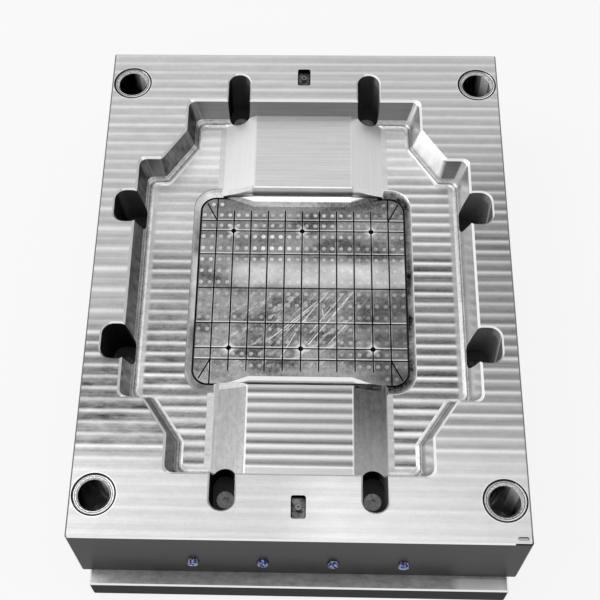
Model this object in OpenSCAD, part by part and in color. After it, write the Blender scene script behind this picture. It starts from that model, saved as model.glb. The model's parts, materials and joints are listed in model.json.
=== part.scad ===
// Fixed half of a crate injection mould: a cavity plate with a cross-shaped slider
// pocket, the insert that forms the crate's bottom, a six-drop hot runner behind it
// and the clamping plate. The half lies on its locating ring, parting face up.
// Millimetres, +Z up. The origin is under the middle of the locating ring.

/* [Cavity plate] */
// Width of the cavity plate, left to right
plate_w = 700; // [690:5:860]
// Depth of the cavity plate, front to back
plate_d = 920; // [900:5:1100]
// Height of the cavity plate
plate_h = 174; // [172:1:200]
// Chamfer along the outer edges of the plates
edge_chamfer = 2.5; // [1:0.5:4]

/* [Slider pocket] */
// Depth of the pocket's floor below the parting face
pocket_depth = 52; // [48:1:54]
// Length of the pocket between the front and back locking walls
pocket_len = 709; // [700:1:715]
// Width of the front and back arms
end_arm_w = 416; // [400:2:430]
// Length of the pocket between the left and right locking walls
pocket_span = 576; // [566:2:584]
// Width of the left and right arms, front to back
side_arm_w = 456; // [450:2:470]
// Run of the slanting facets along X
facet_run = 41; // [34:1:50]
// Run of the slanting facets along Y
facet_rise = 62; // [50:1:80]
// Lean of the locking walls from upright, in degrees
wall_lean = 15; // [10:1:20]
// Radius of the cove where the walls meet the floor
cove_r = 13; // [8:1:16]
// Radius of the outer corners of the four arms
pocket_corner_r = 13; // [9:1:14]
// Radius where the slanting facets meet the arms
facet_corner_r = 9; // [6:1:12]
// Chamfer along the pocket's mouth
mouth_chamfer = 3; // [1:0.5:4]

/* [Raised pads] */
// Height of the front and back pads above the floor
pad_h = 18; // [10:1:24]
// Width of each pad's flat top
pad_top_w = 171; // [140:1:190]
// Width of each pad at the foot of its ramps
pad_foot_w = 282; // [240:2:300]
// Radius along the edge of each pad beside the insert
pad_nose_r = 11; // [4:1:14]

/* [Bottom insert] */
// Width of the insert
insert_w = 360; // [350:2:362]
// Depth of the insert, front to back
insert_d = 365; // [360:1:372]
// Thickness of the insert
insert_t = 44; // [42:1:45]
// Corner radius of the insert
insert_corner_r = 28; // [20:1:36]
// Step from the pocket's floor down to the insert's face
insert_step = 5; // [3:0.5:8]
// Width of the bevelled frame around the insert, left and right
frame_w = 11; // [6:1:14]
// Width of the bevelled frame around the insert, front and back
frame_d = 16; // [8:1:18]
// Width of the groove around the insert that forms the crate's stacking rim
rim_groove_w = 3.4; // [2:0.2:5]
// Depth of that groove
rim_groove_t = 10; // [6:1:12]
// Length over which the shut-off ramps rise from the insert's face
ramp_run = 18; // [12:1:24]

/* [Rib slots] */
// Distance between neighbouring lengthwise rib slots
rib_pitch = 30; // [28:0.5:30]
// Number of lengthwise rib slots on each side of the middle one
rib_side_count = 5; // [3:1:5]
// Half length of the inner lengthwise rib slots
rib_half_len = 156; // [150:1:160]
// Distance of the first crosswise rib slots from the middle
cross_rib_1 = 67; // [55:1:75]
// Distance of the second crosswise rib slots, which carry the gates
cross_rib_2 = 114; // [112:1:118]
// Distance of the third crosswise rib slots
cross_rib_3 = 135; // [130:1:140]
// Width of a rib slot
rib_w = 2.4; // [1.6:0.2:3.2]
// Depth of a rib slot
rib_t = 16; // [10:1:16]
// Diameter of the dimples that form the pips on the crate's bottom
dimple_d = 8; // [6:0.5:9]
// Depth of the dimples
dimple_t = 1; // [0.4:0.1:1.5]
// Diameter of the round pocket at each gate
gate_pocket_d = 9; // [6:1:12]
// Diameter of each gate
gate_d = 3; // [2:0.5:5]

/* [Angle pin slots] */
// Width of an angle pin slot
pin_slot_w = 39; // [30:1:42]
// Length of an end slot, front to back
end_slot_len = 77; // [72:1:80]
// Length of a side slot, front to back
side_slot_len = 63; // [56:1:66]
// Reach of a side slot, left to right
side_slot_reach = 47; // [43:1:50]
// Lean of the slots from upright, in degrees
pin_slot_lean = 5; // [3:1:8]
// Depth of the slots along their own axis
pin_slot_t = 90; // [84:1:100]
// Diameter of the round pin seat in the bottom of each slot
pin_seat_d = 29; // [24:1:32]
// Depth of that seat
pin_seat_t = 4; // [2:1:8]
// Distance of the end slots from the middle of the mould, along X
end_slot_x = 117; // [112:1:120]
// Distance of the end slots from the middle of the mould, along Y
end_slot_y = 375; // [371:1:379]
// Distance of the side slots from the middle of the mould, along X
side_slot_x = 301; // [298:1:305]
// Distance of the side slots from the middle of the mould, along Y
side_slot_y = 130; // [110:1:150]
// Chamfer round the mouth of each slot
pin_slot_chamfer = 2.5; // [1:0.5:3.5]
// Diameter of the screw hole in the bottom of each slot
pin_screw_d = 13; // [9:1:16]

/* [Guide bushes] */
// Distance of the guide bushes from the plate's side edges
bush_edge_x = 38; // [36:1:44]
// Distance of the guide bushes from the plate's front and back edges
bush_edge_y = 68; // [50:1:72]
// Bore of a guide bush
bush_bore_d = 48; // [40:1:48]
// Outer diameter of the bush body
bush_body_d = 58; // [56:1:60]
// Diameter of the bush collar
bush_collar_d = 64; // [62:1:66]
// Thickness of the bush collar
bush_collar_t = 12; // [8:1:16]
// Length of a guide bush
bush_len = 116; // [90:2:120]
// Lead-in at each end of the bush's bore
bush_lead = 3; // [2:0.5:4]
// Distance of the bush's face below the parting face
bush_sink = 0.5; // [0.2:0.1:1]
// Radial relief for the guide pin below each bush
bush_relief = 2; // [1:0.5:3]

/* [Clamping plate] */
// Width of the clamping plate
clamp_w = 674; // [660:2:690]
// Depth of the clamping plate, front to back
clamp_d = 968; // [960:4:1060]
// Thickness of the clamping plate
clamp_t = 54; // [50:1:60]
// Diameter of the clamping plate screws
clamp_screw_d = 20; // [16:2:20]
// Distance of the side screws from the plate's middle, along Y
clamp_side_y = 260; // [230:5:300]
// Distance of the side screws from the plate's side edges
clamp_side_edge = 45; // [42:1:50]
// Distance of the inner end screws from the plate's middle, along X
clamp_inner_x = 75; // [65:1:85]
// Distance of the outer end screws from the plate's middle, along X
clamp_outer_x = 200; // [192:2:230]
// Distance of the end screws from the plate's front and back edges
clamp_end_edge = 30; // [26:1:34]
// Thread engagement of the clamping plate screws
clamp_screw_grip = 35; // [25:1:40]
// Diameter of the two dowels between the plates
plate_dowel_d = 25; // [16:1:30]
// Length of those dowels
plate_dowel_len = 60; // [40:2:80]
// Distance of those dowels from the middle, along X
plate_dowel_x = 260; // [240:5:270]
// Distance of those dowels from the middle, along Y
plate_dowel_y = 330; // [310:5:350]

/* [Locating ring] */
// Outer diameter of the locating ring
ring_d = 160; // [140:5:180]
// Inner diameter of the locating ring
ring_bore_d = 70; // [64:2:80]
// Height that the ring stands proud of the clamping plate
ring_proud = 10; // [5:1:15]
// Depth of the ring's seat in the clamping plate
ring_seat_t = 8; // [5:1:12]
// Distance by which the ring's seated flange is wider than its proud part
ring_flange = 5; // [3:0.5:8]
// Chamfer along the edges of the ring's proud face
ring_chamfer = 2; // [1:0.5:3]
// Diameter of the locating ring screws
ring_screw_d = 8; // [6:1:8]
// Thread engagement of the locating ring screws
ring_screw_grip = 16; // [10:1:18]

/* [Hot runner] */
// Width of the manifold's arms
manifold_arm_w = 76; // [72:1:80]
// Thickness of the manifold
manifold_t = 38; // [34:1:40]
// Air gap around the manifold
manifold_gap = 8; // [6:1:9]
// Diameter of the melt channels
melt_d = 10; // [6:1:12]
// Width and depth of the pressed-in manifold heaters
heater_s = 8; // [6:1:8]
// Diameter of a nozzle's head
nozzle_head_d = 46; // [42:1:46]
// Height of the nozzle head that sits in the cavity plate
nozzle_seat_t = 6; // [4:1:6]
// Diameter of a nozzle's body
nozzle_body_d = 30; // [26:1:30]
// Diameter of a nozzle's tip
nozzle_tip_d = 16; // [12:1:18]
// Length of a nozzle's tip
nozzle_tip_len = 7; // [5:1:8]
// Air gap around a nozzle's body, heater included
nozzle_gap = 4; // [3.5:0.5:5]
// Wall of a nozzle heater
nozzle_heater_wall = 2.5; // [1.5:0.5:3]
// Diameter of the pressure pads behind the nozzles
pressure_pad_d = 36; // [28:1:44]
// Hole through a pressure pad
pressure_pad_bore = 6.6; // [5:0.2:9]
// Diameter of the dowel that holds the manifold's middle
centre_dowel_d = 12; // [8:1:14]
// Diameter of the dowel that keeps the manifold from turning
slot_dowel_d = 10; // [8:1:14]
// Depth of those dowels in the manifold
dowel_low_grip = 10; // [8:1:12]
// Depth of those dowels in the cavity plate
dowel_high_grip = 7; // [5:1:8]
// Diameter of the inlet bush
inlet_d = 34; // [30:1:36]
// Width of the flange at the top of the inlet bush
inlet_flange_w = 6; // [4:1:7]
// Height of the inlet's spigot in the manifold
inlet_spigot_t = 8; // [6:1:10]
// Radius of the seat for the machine's nozzle
inlet_seat_r = 16; // [13:1:18]
// Wall of the inlet heater
inlet_heater_wall = 6; // [4:1:7]
// Air gap around the inlet heater
heater_gap = 5; // [3:1:6]

/* [Cooling] */
// Diameter of the water channels
water_d = 10; // [8:1:10]
// Distance between neighbouring water connections
water_pitch = 110; // [104:1:112]
// Diameter of the counterbores around the water connections
water_bore_d = 20; // [16:1:24]
// Depth of those counterbores
water_bore_t = 14; // [10:1:20]
// Length of a water connection's shank in its channel
nipple_tail = 12; // [8:1:20]
// Distance from the middle to the cross channels near the back
water_cross_y = 290; // [240:5:300]
// Diameter of the plugs that close the cross channels
water_plug_d = 14; // [12:1:16]

/* [Small features] */
// Width of the recesses on the front and back edge of the parting face
key_w = 23; // [16:1:30]
// Length of those recesses
key_len = 37; // [28:1:40]
// Depth of those recesses
key_t = 8; // [4:1:12]
// Corner radius of those recesses
key_corner_r = 4; // [3:0.5:6]
// Distance of those recesses from the plate's front and back edges
key_edge = 53; // [45:1:60]
// Height of the lifting holes above the plate's back face
lift_rise = 59; // [50:1:70]
// Diameter of the lifting holes
lift_d = 24; // [16:1:30]
// Depth of the lifting holes
lift_t = 40; // [30:1:45]
// Width of the duct for the heater leads
duct_w = 36; // [20:1:40]
// Depth of the duct for the heater leads
duct_t = 18; // [10:1:24]
// Diameter of the insert screws
insert_screw_d = 12; // [8:1:12]
// Distance of the corner insert screws from the insert's side edges
insert_corner_x = 30; // [28:0.5:32]
// Distance of the corner insert screws from the insert's front and back edges
insert_corner_y = 14.5; // [13:0.5:16]
// Distance of the other insert screws from the insert's side edges
insert_side_x = 40; // [36:1:44]
// Distance of the other insert screws from the insert's middle, along Y
insert_side_y = 40; // [30:1:50]
// Diameter of the screws in the key recesses
key_screw_d = 6; // [5:1:8]
// Length of those screws below their heads
key_screw_len = 12; // [10:1:20]
// Width of the pry slot at the front right corner
pry_w = 6; // [4:1:10]
// Length of the pry slot
pry_len = 17; // [12:1:24]
// Depth of the pry slot
pry_t = 3; // [2:0.5:5]
// Distance of the pry slot from the plate's right edge
pry_edge_x = 15; // [10:1:20]
// Distance of the pry slot from the plate's front edge
pry_edge_y = 9; // [6:1:14]
// Running clearance between bored holes and what sits in them
fit_gap = 0.1; // [0.05:0.05:0.2]

/* [Hidden] */
$fn = 64;
eps = 1;

// Heights of the main faces
z_clamp = ring_proud;
z_back = z_clamp + clamp_t;
z_top = z_back + plate_h;
z_floor = z_top - pocket_depth;
z_insert = z_floor - insert_step;
z_seat = z_insert - insert_t;
z_ribs = z_insert - rib_t;
z_manifold = z_back + manifold_gap;
z_manifold_top = z_manifold + manifold_t;
z_pocket = z_manifold_top + manifold_gap;
z_head = z_pocket + nozzle_seat_t;
z_tip = z_ribs - nozzle_tip_len - 1;
z_tip_top = z_tip + nozzle_tip_len;
z_melt = z_manifold + manifold_t / 2;
z_water = (z_pocket + z_seat) / 2;
z_lift = z_back + lift_rise;

// Places in plan: the outer nozzles stand four rib pitches from the middle ones
nozzle_rib_steps = 4;
gate_x = rib_pitch * nozzle_rib_steps;
gate_y = cross_rib_2;
bush_x = plate_w / 2 - bush_edge_x;
bush_y = plate_d / 2 - bush_edge_y;
key_y = plate_d / 2 - key_edge;
drops = [
    [-gate_x, -gate_y], [0, -gate_y], [gate_x, -gate_y],
    [-gate_x, gate_y], [0, gate_y], [gate_x, gate_y]
];
corners = [[-1, -1], [1, -1], [-1, 1], [1, 1]];
water_x = [for (k = [-1.5:1.5]) k * water_pitch];
runner_dowels = [[0, centre_dowel_d], [gate_y / 2, slot_dowel_d]];
manifold_r = manifold_arm_w / 2;
heater_path_r = manifold_r - heater_s * 0.75;

// Screw places
clamp_side_x = plate_w / 2 - clamp_side_edge;
clamp_end_y = plate_d / 2 - clamp_end_edge;
clamp_places = concat(
    [for (s = [-1, 1], k = [-1:1]) [s * clamp_side_x, k * clamp_side_y]],
    [for (c = corners, x = [clamp_inner_x, clamp_outer_x]) [c[0] * x, c[1] * clamp_end_y]]
);
insert_places = concat(
    [for (c = corners) [c[0] * (insert_w / 2 - insert_corner_x), c[1] * (insert_d / 2 - insert_corner_y)]],
    [for (c = corners) [c[0] * (insert_w / 2 - insert_side_x), c[1] * insert_side_y]]
);
plate_dowel_places = [[-plate_dowel_x, plate_dowel_y], [plate_dowel_x, -plate_dowel_y]];
ring_screw_r = (ring_d + ring_bore_d) / 4;

// Turns and lengths that follow from the sizes above
z_insert_screw = z_pocket - 6;
insert_screw_tip = z_ribs - 6;

// A unit vector
function unit(v) = v / norm(v);

// An angle brought between -180 and 180 degrees
function short_turn(a) = a > 180 ? a - 360 : a < -180 ? a + 360 : a;

// The arc that rounds the corner p between its neighbours a and b
function corner_arc(p, a, b, r, steps) =
    let (u = unit(a - p), v = unit(b - p), half = acos(u * v) / 2)
    let (c = p + unit(u + v) * r / sin(half))
    let (s = p + u * r / tan(half) - c, e = p + v * r / tan(half) - c)
    let (a0 = atan2(s[1], s[0]), turn = short_turn(atan2(e[1], e[0]) - a0))
    [for (k = [0:steps]) c + r * [cos(a0 + turn * k / steps), sin(a0 + turn * k / steps)]];

// A closed outline with all of its corners rounded, by each of the radii in turn
function rounded(points, radii, steps) =
    let (n = len(points))
    [for (i = [0:n - 1]) each
        corner_arc(points[i], points[(i + n - 1) % n], points[(i + 1) % n], radii[i % len(radii)], steps)];

// Corners of the pocket in one quarter, moved inwards by the given inset
function pocket_quarter(inset) =
    let (x_end = pocket_span / 2 - inset, y_side = side_arm_w / 2 - inset)
    let (x_side = end_arm_w / 2 - inset, y_end = pocket_len / 2 - inset)
    let (normal = unit([facet_rise, facet_run]))
    let (level = normal * [end_arm_w / 2 + facet_run, side_arm_w / 2] - inset)
    [
        [x_end, y_side],
        [(level - normal[1] * y_side) / normal[0], y_side],
        [x_side, (level - normal[0] * x_side) / normal[1]],
        [x_side, y_end]
    ];

// The pocket's whole outline at that inset
function pocket_outline(inset) =
    let (q = pocket_quarter(inset))
    rounded(concat(
        [for (i = [0:3]) q[i]],
        [for (i = [3:-1:0]) [-q[i][0], q[i][1]]],
        [for (i = [0:3]) [-q[i][0], -q[i][1]]],
        [for (i = [3:-1:0]) [q[i][0], -q[i][1]]]
    ), [pocket_corner_r, facet_corner_r, facet_corner_r, pocket_corner_r], 5);

// Inset and height of each level of the pocket's wall, from the floor up
wall_foot = (pocket_depth - cove_r) * tan(wall_lean) + cove_r / cos(wall_lean);
cove_steps = 5;
wall_levels = concat(
    [for (k = [0:cove_steps])
        let (a = 270 - (90 - wall_lean) * k / cove_steps)
        [wall_foot + cove_r * cos(a), cove_r + cove_r * sin(a)]],
    [
        [mouth_chamfer * tan(wall_lean), pocket_depth - mouth_chamfer],
        [-mouth_chamfer, pocket_depth],
        [-mouth_chamfer, pocket_depth + eps]
    ]
);

// Outline of a rectangle with round corners
function soft_rectangle(w, d, r) =
    rounded([[w, d] / 2, [-w, d] / 2, [-w, -d] / 2, [w, -d] / 2], [r], 8);

// A solid through a stack of outlines that all have as many points. Both end faces
// are fans about the middle, so each outline is seen whole from the origin.
module loft(outlines, heights) {
    n = len(outlines[0]);
    top = len(outlines) - 1;
    low_middle = n * (top + 1);
    high_middle = low_middle + 1;
    points = [for (i = [0:top], p = outlines[i]) [p[0], p[1], heights[i]]];
    middles = [[0, 0, heights[0]], [0, 0, heights[top]]];
    sides = [for (i = [0:top - 1], k = [0:n - 1])
        let (a = i * n + k, b = i * n + (k + 1) % n)
        each [[a, a + n, b], [b, a + n, b + n]]];
    floor_fan = [for (k = [0:n - 1]) [k, (k + 1) % n, low_middle]];
    top_fan = [for (k = [0:n - 1]) [top * n + (k + 1) % n, top * n + k, high_middle]];
    polyhedron(concat(points, middles), concat(floor_fan, sides, top_fan));
}

// A rectangle with round corners, drawn from true arcs
module soft_square(w, d, r) {
    square([w - 2 * r, d], center = true);
    square([w, d - 2 * r], center = true);
    for (c = corners)
        translate([c[0] * (w / 2 - r), c[1] * (d / 2 - r)]) circle(r);
}

// A slot shape along Y, with round ends
module slot(w, len) {
    square([w, len - w], center = true);
    for (s = [-1, 1]) translate([0, s * (len - w) / 2]) circle(d = w);
}

// A rectangle with its corners cut off
module cut_square(w, h, c) {
    polygon([
        [-w / 2 + c, -h / 2], [w / 2 - c, -h / 2], [w / 2, -h / 2 + c], [w / 2, h / 2 - c],
        [w / 2 - c, h / 2], [-w / 2 + c, h / 2], [-w / 2, h / 2 - c], [-w / 2, -h / 2 + c]
    ]);
}

// A block that stands on z = 0, with a chamfer along every edge
module chamfered_block(w, d, h, c) {
    translate([0, 0, h / 2]) intersection() {
        linear_extrude(h, center = true) cut_square(w, d, c);
        rotate([90, 0, 0]) linear_extrude(d, center = true) cut_square(w, h, c);
        rotate([90, 0, 90]) linear_extrude(w, center = true) cut_square(d, h, c);
    }
}

// The manifold's shape in plan: a round-ended bar behind each row of nozzles, and one between them
module manifold_plan(grow) {
    for (s = [-1, 1]) translate([0, s * gate_y]) rotate(90)
        slot(manifold_arm_w + 2 * grow, 2 * gate_x + manifold_arm_w + 2 * grow);
    square([manifold_arm_w + 2 * grow, 2 * gate_y], center = true);
}

// A cap screw that points up from the middle of its head's upper face
module cap_screw(d, grip) {
    head_t = d;
    difference() {
        union() {
            translate([0, 0, -head_t]) cylinder(h = head_t, d = d * 1.5);
            cylinder(h = grip, d = d);
        }
        translate([0, 0, -head_t - eps]) cylinder(h = head_t / 2 + eps, d = d * 0.92, $fn = 6);
    }
}

// The outline of an angle pin slot, with round ends or, where it is wider, round corners
module pin_slot_plan(reach, len) {
    if (reach > pin_slot_w) soft_square(reach, len, pin_slot_w / 2);
    else slot(pin_slot_w, len);
}

// The space where one angle pin slot is cut, at the origin of its mouth: the slot, the
// round seat of the pin in its bottom and the hole for the screw that holds the pin
module pin_slot_space(reach, len) {
    above = pin_slot_w * 0.75;
    translate([0, 0, -pin_slot_t]) linear_extrude(pin_slot_t + above) pin_slot_plan(reach, len);
    translate([0, 0, -pin_slot_t - pin_seat_t]) cylinder(h = pin_seat_t + eps, d = pin_seat_d);
    translate([0, 0, -plate_h * 1.2]) cylinder(h = plate_h * 1.2, d = pin_screw_d);
}

// The upright flare that chamfers the mouth of a slot, at the middle of that mouth
module slot_flare(reach, len) {
    heights = [-pin_slot_w / 4, eps];
    loft(
        [for (z = heights)
            let (grow = 2 * (pin_slot_chamfer + z))
            soft_rectangle(reach + grow, len + grow, (pin_slot_w + grow) * 0.49)],
        heights
    );
}

// All eight slots, each leaning towards the middle of the mould as it goes down
module pin_slot_spaces() {
    for (c = corners) {
        translate([c[0] * end_slot_x, c[1] * end_slot_y, z_top]) {
            rotate([-c[1] * pin_slot_lean, 0, 0]) pin_slot_space(pin_slot_w, end_slot_len);
            slot_flare(pin_slot_w, end_slot_len);
        }
        translate([c[0] * side_slot_x, c[1] * side_slot_y, z_top]) {
            rotate([0, c[0] * pin_slot_lean, 0]) pin_slot_space(side_slot_reach, side_slot_len);
            slot_flare(side_slot_reach, side_slot_len);
        }
    }
}

// The cross-shaped space of the slider pocket
module pocket_space() {
    loft(
        [for (l = wall_levels) pocket_outline(l[0])],
        [for (l = wall_levels) z_floor + l[1]]
    );
}

// The bevelled frame from the pocket's floor down to the insert's face
module frame_space() {
    outer_w = insert_w + 2 * frame_w;
    outer_d = insert_d + 2 * frame_d;
    loft(
        [
            soft_rectangle(insert_w, insert_d, insert_corner_r),
            soft_rectangle(insert_w + frame_w * 1.2, insert_d + frame_d * 1.2, insert_corner_r + frame_w * 0.6),
            soft_rectangle(outer_w, outer_d, insert_corner_r + frame_w),
            soft_rectangle(outer_w, outer_d, insert_corner_r + frame_w)
        ],
        [z_insert, z_insert + insert_step * 0.35, z_floor, z_floor + eps]
    );
}

// The seat of the insert, with relieved sides
module insert_space() {
    translate([0, 0, z_seat]) linear_extrude(insert_t + insert_step + eps)
        soft_square(insert_w + 2 * fit_gap, insert_d + 2 * fit_gap, insert_corner_r + fit_gap);
}

// A raised pad on the back side of the pocket's floor, with its two ramps
module raised_pad() {
    y_nose = insert_d / 2 + fit_gap;
    y_wall = pocket_len / 2 + mouth_chamfer;
    intersection() {
        translate([0, y_wall, z_floor]) rotate([90, 0, 0]) linear_extrude(y_wall - y_nose)
            polygon([
                [-pad_foot_w / 2, -insert_step], [pad_foot_w / 2, -insert_step],
                [pad_foot_w / 2, 0], [pad_top_w / 2, pad_h],
                [-pad_top_w / 2, pad_h], [-pad_foot_w / 2, 0]
            ]);
        translate([0, 0, z_floor]) rotate([90, 0, 90]) linear_extrude(pad_foot_w + 2 * eps, center = true)
            difference() {
                translate([y_nose, -insert_step - eps])
                    square([y_wall - y_nose, pad_h + insert_step + 2 * eps]);
                difference() {
                    translate([y_nose - eps, pad_h - pad_nose_r])
                        square([pad_nose_r + eps, pad_nose_r + 2 * eps]);
                    translate([y_nose + pad_nose_r, pad_h - pad_nose_r]) circle(pad_nose_r);
                }
            }
    }
}

// Guide bush seats, with a relief below each for the guide pin
module bush_spaces() {
    for (c = corners) translate([c[0] * bush_x, c[1] * bush_y, 0]) {
        translate([0, 0, z_top - bush_collar_t - fit_gap])
            cylinder(h = bush_collar_t + eps + fit_gap, d = bush_collar_d + 2 * fit_gap);
        translate([0, 0, z_top - bush_len - fit_gap])
            cylinder(h = bush_len, d = bush_body_d + 2 * fit_gap);
        translate([0, 0, z_back - eps]) cylinder(h = plate_h, d = bush_bore_d + 2 * bush_relief);
    }
}

// Hot runner pocket, nozzle bores, dowel holes and the duct for the leads
module runner_spaces() {
    translate([0, 0, z_back - eps]) linear_extrude(z_pocket - z_back + eps)
        manifold_plan(manifold_gap);
    for (p = drops) translate([p[0], p[1], 0]) {
        translate([0, 0, z_pocket - eps])
            cylinder(h = nozzle_seat_t + eps, d = nozzle_head_d + 2 * fit_gap);
        translate([0, 0, z_pocket]) cylinder(h = z_seat - z_pocket + eps, d = nozzle_body_d + 2 * nozzle_gap);
    }
    for (dowel = runner_dowels) translate([0, dowel[0], z_pocket - eps])
        cylinder(h = dowel_high_grip + fit_gap + eps, d = dowel[1] + 2 * fit_gap);
    translate([-duct_w / 2, gate_y, z_back - eps])
        cube([duct_w, plate_d / 2 - gate_y + eps, duct_t + eps]);
}

// Water channels with their counterbores and plug seats
module water_spaces() {
    for (x = water_x) translate([x, -plate_d / 2 - eps, z_water]) rotate([-90, 0, 0]) {
        cylinder(h = plate_d / 2 + water_cross_y + eps, d = water_d);
        cylinder(h = water_bore_t + eps, d = water_bore_d);
    }
    for (s = [-1, 1]) translate([s * (plate_w / 2 + eps), water_cross_y, z_water])
        rotate([0, -s * 90, 0]) {
            cylinder(h = plate_w / 2 - water_x[2] + eps, d = water_d);
            cylinder(h = water_plug_d + eps, d = water_plug_d + 2 * fit_gap);
        }
}

// Screw, dowel and lifting holes
module fastener_spaces() {
    for (p = clamp_places) translate([p[0], p[1], z_back - eps])
        cylinder(h = clamp_screw_grip + 4 + eps, d = clamp_screw_d + 2 * fit_gap);
    for (p = insert_places) translate([p[0], p[1], z_back - eps]) {
        cylinder(h = z_insert_screw - z_back + eps, d = insert_screw_d * 1.5 + 2);
        cylinder(h = z_seat - z_back + 2 * eps, d = insert_screw_d + 2 * fit_gap);
    }
    for (p = plate_dowel_places) translate([p[0], p[1], z_back - eps])
        cylinder(h = plate_dowel_len / 2 + fit_gap + eps, d = plate_dowel_d + 2 * fit_gap);
    for (s = [-1, 1]) translate([s * (plate_w / 2 + eps), 0, z_lift]) rotate([0, -s * 90, 0])
        cylinder(h = lift_t + eps, d = lift_d);
    translate([0, plate_d / 2 + eps, z_lift]) rotate([90, 0, 0]) cylinder(h = lift_t + eps, d = lift_d);
}

// Recesses on the parting face: two keys with a screw each, and a pry slot at one corner
module key_spaces() {
    for (s = [-1, 1]) translate([0, s * key_y, z_top - key_t]) {
        linear_extrude(key_t + eps) soft_square(key_w, key_len, key_corner_r);
        translate([0, 0, -key_screw_len - 2]) cylinder(h = key_screw_len + 3, d = key_screw_d + 2 * fit_gap);
    }
    translate([plate_w / 2 - pry_edge_x, -plate_d / 2 + pry_edge_y, z_top - pry_t]) rotate(90)
        linear_extrude(pry_t + eps) slot(pry_w, pry_len);
}

// The cavity plate: one block of steel
module cavity_plate() {
    color("lightsteelblue") {
        difference() {
            translate([0, 0, z_back]) chamfered_block(plate_w, plate_d, plate_h, edge_chamfer);
            pocket_space();
            frame_space();
            insert_space();
            pin_slot_spaces();
            bush_spaces();
            runner_spaces();
            water_spaces();
            fastener_spaces();
            key_spaces();
        }
        difference() {
            for (a = [0, 180]) rotate(a) raised_pad();
            pin_slot_spaces();
        }
    }
}

// Slots that form the ribs of the crate's bottom
module rib_spaces() {
    h = rib_t + insert_step + eps;
    last = rib_side_count * rib_pitch;
    translate([0, 0, z_ribs]) {
        for (k = [-rib_side_count:rib_side_count]) {
            reach = abs(k) == rib_side_count ? insert_d / 2 - rim_groove_w : rib_half_len;
            translate([k * rib_pitch - rib_w / 2, -reach, 0]) cube([rib_w, 2 * reach, h]);
        }
        for (y = [0, cross_rib_1, cross_rib_2, cross_rib_3], s = [-1, 1])
            translate([-insert_w / 2 + rim_groove_w, s * y - rib_w / 2, 0])
                cube([insert_w - 2 * rim_groove_w, rib_w, h]);
        for (c = corners) {
            from = [c[0] * last, c[1] * cross_rib_3];
            to = [
                c[0] * (insert_w / 2 - rim_groove_w - insert_corner_r * 0.3),
                c[1] * (insert_d / 2 - rim_groove_w - insert_corner_r * 0.3)
            ];
            translate([from[0], from[1], 0]) rotate(atan2(to[1] - from[1], to[0] - from[0]))
                translate([0, -rib_w / 2, 0]) cube([norm(to - from), rib_w, h]);
        }
    }
}

// A shut-off ramp that closes against the pad on the back side
module shut_off_ramp() {
    y_edge = insert_d / 2;
    z_low = z_insert - rim_groove_t;
    foot = pad_foot_w / 2 - 7;
    crest = pad_top_w / 2;
    points = [
        [foot, y_edge], [-foot, y_edge], [-crest, y_edge - ramp_run], [crest, y_edge - ramp_run]
    ];
    polyhedron(
        concat(
            [for (p = points) [p[0], p[1], z_low]],
            [for (p = points) [p[0], p[1], z_insert]],
            [[crest, y_edge, z_floor], [-crest, y_edge, z_floor]]
        ),
        [
            [0, 1, 2, 3], [1, 0, 4, 8, 9, 5], [2, 1, 5, 6], [3, 2, 6, 7], [0, 3, 7, 4],
            [4, 7, 8], [8, 7, 6, 9], [9, 6, 5]
        ]
    );
}

// Rows of dimples in each strip between two crosswise ribs: lower edge, upper edge, count
dimple_strips = [
    [0, cross_rib_1, 3], [cross_rib_1, cross_rib_2, 2], [cross_rib_2, cross_rib_3, 1],
    [cross_rib_3, insert_d / 2 - rim_groove_w, 2]
];
dimple_rows = [for (s = dimple_strips, k = [1:s[2]]) s[0] + (s[1] - s[0]) * (k - 0.5) / s[2]];
dimple_columns = [for (k = [0.25:0.5:rib_side_count + 0.75]) k * rib_pitch];

// A dimple is left out where a shut-off ramp or the corner of the rim groove is
function dimple_fits(x, y) =
    y < insert_d / 2 - ramp_run - dimple_d / 2
    || (x > pad_foot_w / 2 && x < (rib_side_count + 0.5) * rib_pitch);

// Shallow round dimples, two across every column between the lengthwise ribs
module dimple_spaces() {
    ball_r = (dimple_d * dimple_d / 4 + dimple_t * dimple_t) / (2 * dimple_t);
    for (x = dimple_columns, y = dimple_rows, c = corners)
        if (dimple_fits(x, y)) translate([c[0] * x, c[1] * y, z_insert + ball_r - dimple_t])
            sphere(ball_r, $fn = 48);
}

// The insert that forms the outside of the crate's bottom
module bottom_insert() {
    color("silver") difference() {
        union() {
            difference() {
                translate([0, 0, z_seat]) linear_extrude(insert_t)
                    soft_square(insert_w, insert_d, insert_corner_r);
                translate([0, 0, z_insert - rim_groove_t]) linear_extrude(rim_groove_t + eps)
                    difference() {
                        square([insert_w + 2, insert_d + 2], center = true);
                        soft_square(
                            insert_w - 2 * rim_groove_w,
                            insert_d - 2 * rim_groove_w,
                            insert_corner_r - rim_groove_w
                        );
                    }
            }
            for (a = [0, 180]) rotate(a) shut_off_ramp();
        }
        rib_spaces();
        dimple_spaces();
        for (p = drops) translate([p[0], p[1], 0]) {
            translate([0, 0, z_ribs]) cylinder(h = rib_t + eps, d = gate_pocket_d);
            translate([0, 0, z_tip]) cylinder(h = insert_t, d = gate_d);
            translate([0, 0, z_tip - eps]) cylinder(h = nozzle_tip_len + eps, d = nozzle_tip_d + 2 * fit_gap);
            translate([0, 0, z_seat - eps]) cylinder(h = z_tip - z_seat + eps, d = nozzle_body_d + 2 * nozzle_gap);
        }
        for (p = insert_places) translate([p[0], p[1], z_seat - eps])
            cylinder(h = insert_screw_tip - z_seat + 1 + eps, d = insert_screw_d + 2 * fit_gap);
    }
}

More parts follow.
